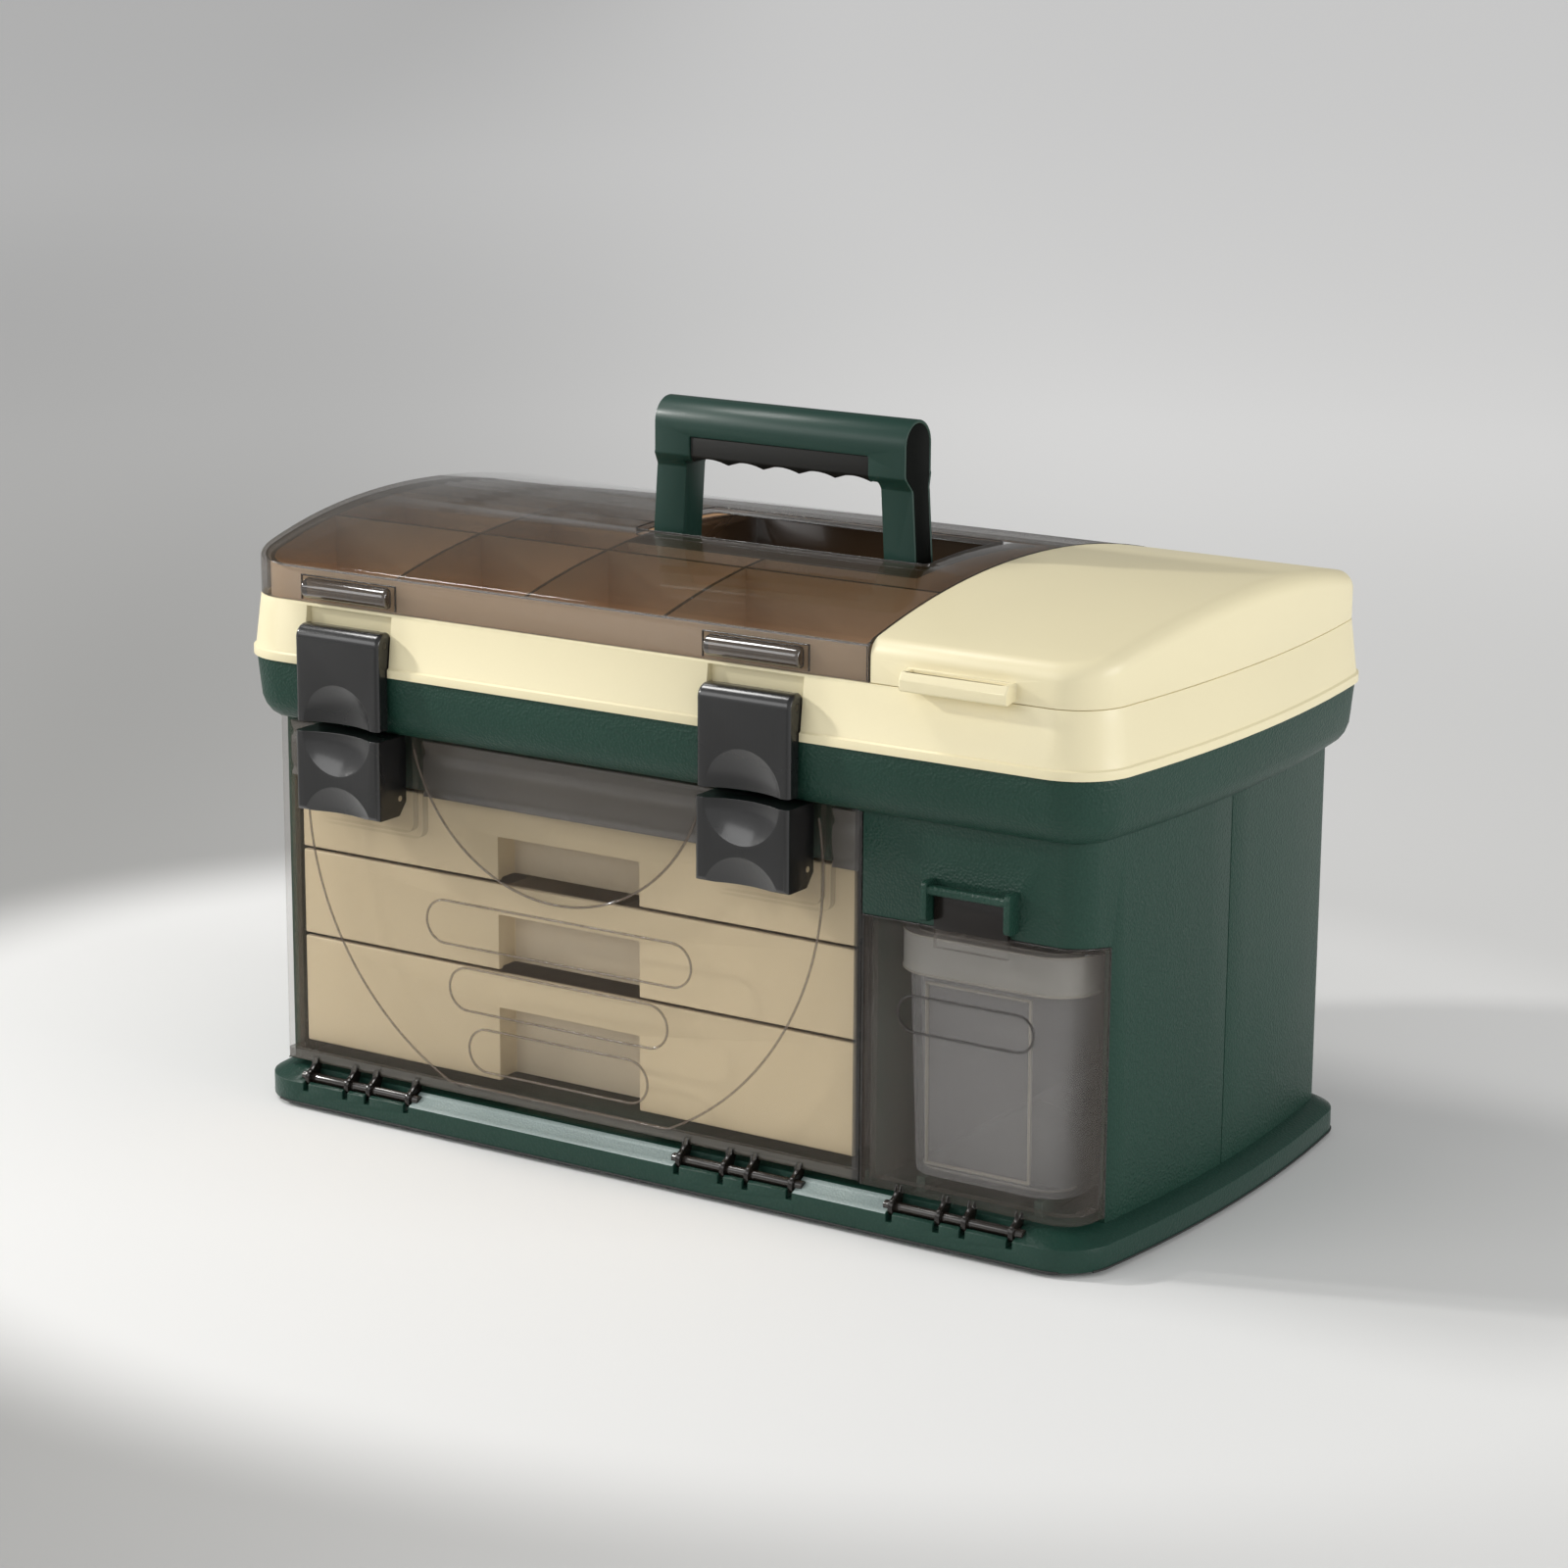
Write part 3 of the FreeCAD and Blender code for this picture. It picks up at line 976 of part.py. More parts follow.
def side_inserts():
    """Dark plates let into the outer faces of the handle."""
    plates = []
    inset = handle_side_view(HANDLE_X - LEG_HALF_FOOT - 5, HANDLE_X + LEG_HALF_FOOT + 5, SIDE_INSERT_RIM)
    inset = inset.common(box(-BIG, 0, HANDLE_AXIS_Z + 12, BIG, BIG, BIG))
    flank = handle_flank(0) + handle_flank(SIDE_INSERT)[::-1]
    for side in (-1, 1):
        corners = [Vec(HANDLE_X + side * px, 0, pz) for px, pz in flank]
        band = Part.Face(Part.makePolygon(corners + corners[:1])).extrude(Vec(0, BIG, 0))
        plates.append(band.common(inset))
    return plates


def grip_recess():
    """Space of the grip in the handle's beam."""
    return box(HANDLE_X - GRIP_HALF, 0, BEAM_BOTTOM - 10, HANDLE_X + GRIP_HALF, BIG, GRIP_TOP)


def handle_frame():
    """Rigid handle: beam and legs, with bores for the pins."""
    frame = handle_solid()
    for plate in side_inserts():
        frame = frame.cut(plate)
    frame = frame.cut(grip_recess())
    span = LEG_HALF_FOOT + 10
    return frame.cut(rod(HANDLE_AXIS_Y, HANDLE_AXIS_Z, HANDLE_PIN_RADIUS + RUNNING, HANDLE_X - span, HANDLE_X + span))


def grip_insert():
    """Soft grip under the beam, with finger scallops."""
    profile = handle_side_view(HANDLE_X - GRIP_HALF, HANDLE_X + GRIP_HALF, GRIP_INSET)
    block = profile.common(box(HANDLE_X - GRIP_HALF, 0, BEAM_BOTTOM - 0.6, HANDLE_X + GRIP_HALF, BIG, GRIP_TOP))
    pitch = 2 * GRIP_HALF / SCALLOPS
    radius = (pitch ** 2 / 4 + SCALLOP_DEPTH ** 2) / (2 * SCALLOP_DEPTH)
    for i in range(SCALLOPS):
        x = HANDLE_X - GRIP_HALF + pitch * (i + 0.5)
        z = BEAM_BOTTOM - 0.6 + SCALLOP_DEPTH - radius
        block = block.cut(Part.makeCylinder(radius, BIG, Vec(x, 0, z), Vec(0, 1, 0)))
    return block


def handle_pins():
    """Pins of the handle in the walls of the tray's well."""
    left = rod(HANDLE_AXIS_Y, HANDLE_AXIS_Z, HANDLE_PIN_RADIUS, WELL_X[0] - WELL_WALL, HANDLE_X - LEG_HALF_FOOT + 12)
    right = rod(HANDLE_AXIS_Y, HANDLE_AXIS_Z, HANDLE_PIN_RADIUS, HANDLE_X + LEG_HALF_FOOT - 12, WELL_X[1] + WELL_WALL)
    return [left, right]


def write(name, shapes):
    """One STEP file for one node."""
    solids = shapes if isinstance(shapes, list) else [shapes]
    solids = [s for shape in solids for s in shape.Solids]
    moved = [s.translated(ORIGIN) for s in solids]
    result = moved[0] if len(moved) == 1 else Part.makeCompound(moved)
    result.exportStep(os.path.join("parts", name + ".step"))
    print(name, len(moved), "solids", round(sum(s.Volume for s in moved) / 1000, 2), "cm3", result.isValid())


def main():
    """Build and write every piece."""
    os.makedirs("parts", exist_ok=True)
    write("base_pan", base_pan())
    write("case_body", case_body())
    write("bulk_deck", bulk_deck())
    write("bay_partition", partition())
    write("feet", feet())
    write("drawer_runners_left", runners(True))
    write("drawer_runners_right", runners(False))
    write("front_door_hinge_rods", [hinge_rod(centre) for centre in HINGE_CENTRES])
    write("side_door_hinge_rod", hinge_rod(SIDE_HINGE_CENTRE))
    write("lid_hinge_pins", [lid_hinge_pin(x) for x in LID_HINGES])
    write("lid_shell", lid_shell())
    write("top_tray", top_tray())
    write("smoke_cover", smoke_cover())
    write("side_cover", side_cover())
    write("cover_hinge_pins", [cover_pin(x) for x in COVER_HINGES])
    write("side_cover_hinge_pin", cover_pin(SIDE_COVER_HINGE))
    write("handle_frame", handle_frame())
    write("handle_side_inserts", side_inserts())
    write("grip_insert", grip_insert())
    write("handle_pins", handle_pins())
    for side, x in zip(("left", "right"), LATCH_CENTRES):
        write("upper_latch_" + side, upper_latch(x))
        write("upper_latch_pin_" + side, latch_pin(x, UPPER_PIN_Y, UPPER_PIN_Z))
        write("lower_latch_" + side, lower_latch(x))
        write("lower_latch_pin_" + side, latch_pin(x, LOWER_PIN_Y, LOWER_PIN_Z))
    write("front_door", front_door())
    write("side_door", side_door())
    names = ("bottom", "middle", "top")
    for name, low, high, drop, columns in zip(names, DRAWER_LEVELS, DRAWER_LEVELS[1:], PULL_DROPS, (1, 3, 4)):
        write("drawer_" + name, drawer(low, high, drop))
        if columns > 1:
            write("dividers_" + name, drawer_dividers(low, high, columns))
    write("lure_bin", lure_bin())


main()
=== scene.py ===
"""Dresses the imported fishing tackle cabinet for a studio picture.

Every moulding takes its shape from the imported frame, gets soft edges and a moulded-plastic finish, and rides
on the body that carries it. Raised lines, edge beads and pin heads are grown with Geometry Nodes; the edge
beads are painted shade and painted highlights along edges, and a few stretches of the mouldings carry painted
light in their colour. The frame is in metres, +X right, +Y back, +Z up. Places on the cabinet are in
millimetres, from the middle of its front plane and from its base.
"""

from __future__ import annotations

import json
import logging
import math
from dataclasses import dataclass, field
from enum import Enum
from functools import cache, cached_property

import bmesh
import bpy
from bpy.types import Material, Mesh, Node, NodeSocket, NodeTree, Object
from mathutils import Matrix, Vector

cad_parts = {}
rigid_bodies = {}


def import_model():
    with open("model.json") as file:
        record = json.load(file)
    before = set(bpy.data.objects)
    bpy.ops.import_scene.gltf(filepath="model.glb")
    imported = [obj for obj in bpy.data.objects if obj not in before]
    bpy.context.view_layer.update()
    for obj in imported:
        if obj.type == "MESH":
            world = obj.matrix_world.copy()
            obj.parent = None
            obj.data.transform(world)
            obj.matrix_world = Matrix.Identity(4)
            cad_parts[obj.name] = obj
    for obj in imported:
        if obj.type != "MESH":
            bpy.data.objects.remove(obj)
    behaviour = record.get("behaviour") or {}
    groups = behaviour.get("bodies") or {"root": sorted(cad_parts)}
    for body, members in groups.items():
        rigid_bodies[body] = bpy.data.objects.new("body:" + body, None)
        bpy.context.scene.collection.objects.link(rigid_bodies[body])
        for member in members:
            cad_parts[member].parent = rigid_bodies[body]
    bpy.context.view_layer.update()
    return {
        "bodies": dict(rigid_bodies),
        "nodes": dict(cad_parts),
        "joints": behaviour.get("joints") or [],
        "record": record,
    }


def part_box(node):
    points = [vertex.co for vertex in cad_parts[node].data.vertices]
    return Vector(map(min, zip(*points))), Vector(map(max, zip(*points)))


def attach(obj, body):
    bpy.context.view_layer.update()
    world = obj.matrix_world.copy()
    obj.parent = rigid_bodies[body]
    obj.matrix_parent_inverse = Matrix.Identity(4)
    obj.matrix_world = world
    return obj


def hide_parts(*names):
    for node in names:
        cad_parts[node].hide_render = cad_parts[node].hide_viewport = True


Corner = tuple[float, float, float]
Box = tuple[Corner, Corner]
Tone = tuple[float, float, float, float]
Span = tuple[float, float]
Inputs = dict[str | int, object]
Route = list[Vector]

LOG = logging.getLogger("tackle_cabinet")
MM = 0.001
FAR = 300.0  # beyond the case and the lid on every side, in millimetres
NOWHERE: Box = ((FAR, FAR, FAR), (-FAR, -FAR, -FAR))
LATCH_MIDDLES: Span = (-156.8, 57.6)  # from the cabinet's middle, in millimetres


def within(place: Corner, box: Box) -> bool:
    """Tell whether a place lies in a box."""
    return all(low <= value <= high for low, value, high in zip(box[0], place, box[1]))


# ---- Nodes ----


@dataclass
class Net:
    """Nodes of one tree, with short ways to add and join them.

    Attributes:
        tree: the tree.
        into: its input node, where the tree is a group.
        out: its output node, where the tree is a group.
    """

    tree: NodeTree
    into: Node | None = None
    out: Node | None = None

    @classmethod
    def group(cls, name: str, kind: str, inputs: dict[str, str], outputs: dict[str, str]) -> Net:
        """Start a node group with named sockets.

        Args:
            name: the group's name.
            kind: type of its tree.
            inputs: each input's name and the last word of its socket type.
            outputs: the same for each output.

        Returns:
            The group's nodes.
        """
        tree = bpy.data.node_groups.new(name, kind)
        for way, sockets in (("INPUT", inputs), ("OUTPUT", outputs)):
            for label, socket in sockets.items():
                tree.interface.new_socket(label, in_out=way, socket_type=f"NodeSocket{socket}")
        return cls(tree, tree.nodes.new("NodeGroupInput"), tree.nodes.new("NodeGroupOutput"))

    def given(self, name: str) -> NodeSocket:
        """Return what a group gets through one of its inputs."""
        return self.into.outputs[name]

    def feed(self, node: Node, inputs: Inputs) -> None:
        """Fill a node's inputs.

        Args:
            node: the node.
            inputs: a value or another node's output for each input.
        """
        for name, value in inputs.items():
            if isinstance(value, NodeSocket):
                self.tree.links.new(value, node.inputs[name])
            else:
                node.inputs[name].default_value = value

    def add(self, kind: str, result: str, inputs: Inputs | None = None, **options: object) -> NodeSocket:
        """Add a node.

        Args:
            kind: its type.
            result: name of the output that is wanted.
            inputs: a value or another node's output for each input.
            **options: its settings.

        Returns:
            That output.
        """
        node = self.tree.nodes.new(kind)
        for name, value in options.items():
            setattr(node, name, value)
        self.feed(node, inputs or {})
        return node.outputs[result]

    def math(self, operation: str, one: NodeSocket, two: NodeSocket | float,
             **options: object) -> NodeSocket:
        """Reckon with two numbers."""
        return self.add("ShaderNodeMath", "Value", {0: one, 1: two}, operation=operation, **options)

    def vector(self, operation: str, result: str, inputs: Inputs) -> NodeSocket:
        """Reckon with vectors."""
        return self.add("ShaderNodeVectorMath", result, inputs, operation=operation)

    def span(self, value: NodeSocket, before: Span, after: Span) -> NodeSocket:
        """Map one range of values evenly onto another."""
        ends = {"From Min": before[0], "From Max": before[1], "To Min": after[0], "To Max": after[1]}
        return self.add("ShaderNodeMapRange", "Result", {"Value": value, **ends})

    def step(self, value: NodeSocket, span: Span) -> NodeSocket:
        """Step softly from 0 to 1 over a range of values."""
        inputs = {"Value": value, "From Min": span[0], "From Max": span[1]}
        return self.add("ShaderNodeMapRange", "Result", inputs, interpolation_type="SMOOTHSTEP")

    def mix(self, factor: NodeSocket, one: Tone | NodeSocket, two: Tone | NodeSocket) -> NodeSocket:
        """Mix two colours."""
        return self.add("ShaderNodeMix", "Result", {"Factor": factor, "A": one, "B": two}, data_type="RGBA")

    def close(self, outputs: dict[str, NodeSocket]) -> NodeTree:
        """Give a group's outputs what they pass on and return its tree."""
        self.feed(self.out, outputs)
        return self.tree


# ---- Finishes ----


class Grain(Enum):
    """Kind of moulded surface relief."""

    LEATHER = "leather"
    FINE = "fine"
    DRAWN = "drawn"
    POLISHED = "polished"


@dataclass(frozen=True)
class Finish:
    """One moulded finish.

    Attributes:
        name: material name.
        slot: the record's material slot; not used by this script.
        colour: base colour, linear.
        roughness: middle roughness.
        grain: kind of relief.
        grain_size: size of one grain in metres.
        grain_depth: strength of the relief, 0 to 1.
        mottling: how much the colour wanders, 0 to 1.
        coat: clear gloss over the surface.
        coat_roughness: roughness of that gloss.
        alpha: cover of a clear plastic seen square on; 1 for a solid one.
        alpha_edge: cover of a clear plastic seen at a low angle.
        ior: refractive index, for the strength of reflections.
        specular: strength of reflections, 0.5 for the plain one.
    """

    name: str
    slot: str
    colour: tuple[float, float, float]
    roughness: float
    grain: Grain = Grain.FINE
    grain_size: float = 0.0009
    grain_depth: float = 0.06
    mottling: float = 0.10
    coat: float = 0.0
    coat_roughness: float = 0.12
    alpha: float = 1.0
    alpha_edge: float = 1.0
    ior: float = 1.5
    specular: float = 0.5


@dataclass(frozen=True)
class Polished(Finish):
    """Finish of a polished plastic, clear or solid."""

    grain: Grain = Grain.POLISHED
    grain_size: float = 0.02
    grain_depth: float = 0.01
    mottling: float = 0.0
    coat_roughness: float = 0.08


class Finishes:
    """All finishes of the cabinet, made once and shared."""

    GREEN = Finish("green_moulding", "green", (0.0125, 0.046, 0.032), 0.40, Grain.LEATHER, 0.0012, 1.0, 0.6,
                   specular=0.28)
    GREEN_INSIDE = Finish("green_inside", "green", (0.0125, 0.046, 0.032), 0.45, mottling=0.2, specular=0.2)
    GREEN_BASE = Finish("green_base", "green", (0.011, 0.042, 0.030), 0.38, Grain.LEATHER, 0.0013, 0.55, 0.5,
                        coat=0.12, coat_roughness=0.25, specular=0.22)
    # Painted highlight: a pale green for the base's front ledge stands in for the highlight that light gives
    # it.
    GREEN_LEDGE_PAINTED_HIGHLIGHT = Finish("green_ledge_painted_highlight", "green", (0.27, 0.335, 0.325), 0.36, Grain.LEATHER, 0.001, 0.5, 0.9)
    GREEN_SMOOTH = Finish("green_smooth", "green", (0.010, 0.042, 0.031), 0.40, Grain.DRAWN, 0.0008, 0.16,
                          0.25, coat=0.10, coat_roughness=0.2, specular=0.36)
    CREAM = Finish("cream_moulding", "cream", (0.855, 0.770, 0.510), 0.40, grain_depth=0.08, mottling=0.08)
    TAN = Finish("tan_moulding", "tan", (0.79, 0.645, 0.415), 0.42)
    # Painted shade: a darker tan for the finger-pull recesses, where shade falls.
    TAN_PAINTED_SHADE = Finish("tan_pull_painted_shade", "tan", (0.66, 0.555, 0.40), 0.45)
    # Painted light: the tray's tan is brighter and more orange than the drawers' tan, making up for light lost
    # under the smoke cover.
    TRAY_PAINTED_LIGHT = Finish("tray_moulding_painted_light", "tan", (0.90, 0.63, 0.39), 0.38)
    WELL = Polished("well_lining", "tan", (0.060, 0.034, 0.018), 0.12, grain_depth=0.02, coat=0.5,
                    coat_roughness=0.05)
    COVER = Polished("smoke_cover", "smoke", (0.047, 0.031, 0.015), 0.04, grain_size=0.03, coat=0.6,
                     coat_roughness=0.03, alpha=0.26, alpha_edge=0.99, ior=1.55, specular=0.6)
    # Painted reflection: a lighter, greyer colour for the whitish look of the cover's front face, on top of
    # its real gloss.
    COVER_FRONT_PAINTED_LIGHT = Polished("smoke_cover_front_painted_light", "smoke", (0.250, 0.205, 0.165), 0.10, grain_size=0.03,
                           grain_depth=0.02, mottling=0.6, coat=1.0, coat_roughness=0.04, alpha=0.30,
                           alpha_edge=0.84, ior=1.6, specular=0.8)
    DOOR = Polished("smoke_door", "smoke", (0.19, 0.155, 0.12), 0.08, grain_size=0.03, coat=0.15,
                    coat_roughness=0.05, alpha=0.11, alpha_edge=0.42, specular=0.35)
    SIDE_DOOR = Polished("smoke_side_door", "smoke", (0.16, 0.135, 0.115), 0.09, grain_size=0.03, coat=0.3,
                         coat_roughness=0.05, alpha=0.14, alpha_edge=0.55)
    SMOKE_DENSE = Polished("smoke_dense", "smoke", (0.125, 0.121, 0.113), 0.30, grain_depth=0.02, coat=0.1,
                           coat_roughness=0.2, alpha=0.90, alpha_edge=0.98, specular=0.4)
    SMOKE_RIM = Polished("smoke_rim", "smoke", (0.020, 0.016, 0.013), 0.16, coat=0.5, coat_roughness=0.06,
                         alpha=0.66, alpha_edge=0.96, ior=1.6)
    SMOKE_SILL = Polished("smoke_sill", "smoke", (0.115, 0.105, 0.088), 0.16, coat=0.3, alpha=0.62,
                          alpha_edge=0.94)
    SMOKE_TAB = Polished("smoke_tab", "smoke", (0.034, 0.024, 0.017), 0.12, coat=1.0, coat_roughness=0.05,
                         alpha=0.80, alpha_edge=0.98, ior=1.6, specular=0.8)
    SMOKE_BAR = Polished("smoke_bar", "smoke", (0.011, 0.0085, 0.007), 0.22, grain_depth=0.02, coat=0.15,
                         specular=0.35)
    SMOKE_LINE = Polished("smoke_line", "smoke", (0.165, 0.118, 0.082), 0.12, coat=1.0, alpha=0.46,
                          alpha_edge=0.92, ior=1.6)
    GREY_CLEAR = Polished("grey_clear", "grey_clear", (0.56, 0.56, 0.565), 0.20, grain_size=0.03, coat=0.4,
                          alpha=0.30, alpha_edge=0.90, specular=0.8)
    GREY_RIM = Polished("grey_rim", "grey_clear", (0.76, 0.74, 0.68), 0.22, grain_size=0.03, coat=0.3,
                        alpha=0.48, alpha_edge=0.92)
    # Painted highlight: a pale grey for beads along the bin's edges, where light makes them look brighter.
    GREY_EDGE_PAINTED_HIGHLIGHT = Polished("grey_edge_painted_highlight", "grey_clear", (0.66, 0.62, 0.54), 0.25, grain_size=0.03, coat=0.2,
                         alpha=0.42, alpha_edge=0.92)
    BLACK = Finish("black_moulding", "black", (0.0085, 0.0085, 0.009), 0.27, Grain.DRAWN, 0.0009, 0.22, 0.30,
                   coat=0.50)
    SIDE_PLATE = Finish("side_plate", "black", (0.002, 0.0028, 0.0025), 0.5, grain_depth=0.08, mottling=0.2,
                        specular=0.06)
    BLACK_GRIP = Finish("grip_rubber", "grip_rubber", (0.015, 0.015, 0.0135), 0.48, Grain.FINE, 0.0006, 0.3,
                        0.2, specular=0.25)
    PIN = Finish("pin_black", "pin_black", (0.018, 0.014, 0.011), 0.24, grain_depth=0.05, coat=0.5)
    PIN_HEAD = Finish("pin_head", "pin_black", (0.34, 0.27, 0.17), 0.28, Grain.FINE, 0.0005, 0.1, coat=0.3)
    FOOT = Finish("foot_rubber", "foot_rubber", (0.02, 0.02, 0.02), 0.7, Grain.FINE, 0.0006, 0.3, 0.2)

    @cache
    def material(self, finish: Finish) -> Material:
        """Build the material of a finish, once.

        Args:
            finish: the finish wanted.

        Returns:
            The shared material.
        """
        material = bpy.data.materials.new(finish.name)
        material.use_nodes = True
        net = Net(material.node_tree)
        surface = {
            "Place": net.add("ShaderNodeTexCoord", "Object"),
            "Colour": (*finish.colour, 1.0),
            "Roughness": finish.roughness,
            "Grains per metre": 1.0 / finish.grain_size,
            "Depth": finish.grain_depth,
            "Grain height": finish.grain_size * 0.25,
            "Mottling": finish.mottling,
        }
        colour = net.add("ShaderNodeGroup", "Colour", surface, node_tree=self._relief(finish.grain))
        relief = colour.node.outputs
        shading = {
            "Base Color": colour,
            "Roughness": relief["Roughness"],
            "Normal": relief["Normal"],
            "IOR": finish.ior,
            "Specular IOR Level": finish.specular,
            "Coat Weight": finish.coat,
            "Coat Roughness": finish.coat_roughness,
        }
        if finish.alpha < 1.0:
            facing = net.add("ShaderNodeLayerWeight", "Facing", {"Blend": 0.5})
            cover = {"Facing": facing, "Cover": finish.alpha, "Cover at edge": finish.alpha_edge}
            shading["Alpha"] = net.add("ShaderNodeGroup", "Alpha", cover, node_tree=self._clear())
            material.surface_render_method = "BLENDED"
        net.feed(material.node_tree.nodes["Principled BSDF"], shading)
        material.diffuse_color = (*finish.colour, finish.alpha)
        return material

    @staticmethod
    @cache
    def _relief(kind: Grain) -> NodeTree:
        """Build the group that gives a moulded surface its relief, tone and roughness.

        Args:
            kind: kind of relief.

        Returns:
            The node group.
        """
        names = ("Roughness", "Grains per metre", "Depth", "Grain height", "Mottling")
        net = Net.group(f"relief_{kind.value}", "ShaderNodeTree",
                        {"Place": "Vector", "Colour": "Color", **dict.fromkeys(names, "Float")},
                        {"Colour": "Color", "Roughness": "Float", "Normal": "Vector"})
        place, colour = net.given("Place"), net.given("Colour")
        cloud = net.add("ShaderNodeTexNoise", "Fac", {"Vector": place, "Scale": 9.0, "Detail": 5.0})
        stretch = (1.0, 1.0, 0.06) if kind is Grain.DRAWN else (1.0, 1.0, 1.0)
        stretched = net.vector("MULTIPLY", "Vector", {0: place, 1: stretch})
        cells = {"Vector": stretched, "Scale": net.given("Grains per metre")}
        if kind is Grain.LEATHER:
            cells["Smoothness"] = 0.6
            height = net.add("ShaderNodeTexVoronoi", "Distance", cells, feature="SMOOTH_F1")
        else:
            cells["Detail"] = 0.0 if kind is Grain.POLISHED else 2.0
            height = net.add("ShaderNodeTexNoise", "Fac", cells)
        relief = {"Height": height, "Strength": net.given("Depth"), "Distance": net.given("Grain height")}
        cloudy = net.span(cloud, (0.3, 0.7), (0.86, 1.14))
        grainy = net.span(height, (0.0, 1.0), (1.12, 0.88))
        shaded = net.vector("SCALE", "Vector", {0: colour, "Scale": net.math("MULTIPLY", cloudy, grainy)})
        spread = net.span(cloud, (0.3, 0.7), (-0.03, 0.04))
        return net.close({
            "Colour": net.mix(net.given("Mottling"), colour, shaded),
            "Roughness": net.math("ADD", net.given("Roughness"), spread, use_clamp=True),
            "Normal": net.add("ShaderNodeBump", "Normal", relief),
        })

    @staticmethod
    @cache
    def _clear() -> NodeTree:
        """Build the group that makes clear plastic cover more at a low angle.

        Returns:
            The node group.
        """
        inputs = dict.fromkeys(("Facing", "Cover", "Cover at edge"), "Float")
        net = Net.group("clear_cover", "ShaderNodeTree", inputs, {"Alpha": "Float"})
        steep = net.math("POWER", net.given("Facing"), 2.6)
        cover = {"Value": steep, "To Min": net.given("Cover"), "To Max": net.given("Cover at edge")}
        return net.close({"Alpha": net.add("ShaderNodeMapRange", "Result", cover)})


class Edge(Enum):
    """Width of a moulding's softened edges in millimetres."""

    SHARP = 0.2
    CRISP = 0.3
    CLEAR = 0.35
    THIN = 0.4
    PLAIN = 0.5
    BEAM = 0.55
    SOFT = 0.6
    ROUND = 0.8


@dataclass(frozen=True)
class Accent:
    """Stretch of a moulding with a finish of its own.

    Attributes:
        finish: the finish there.
        box: corners of the box that holds it.
        upward: least upward part of a face's normal; -1 takes every face.
        cuts: axis and place of the planes that part it from the rest.
    """

    finish: Finish
    box: Box
    upward: float = -1.0
    cuts: tuple[tuple[int, float], ...] = ()

    def holds(self, place: Corner, normal: Vector) -> bool:
        """Tell whether a face with this middle and this normal belongs to the accent."""
        return normal.z >= self.upward and within(place, self.box)


# ---- Workshop ----


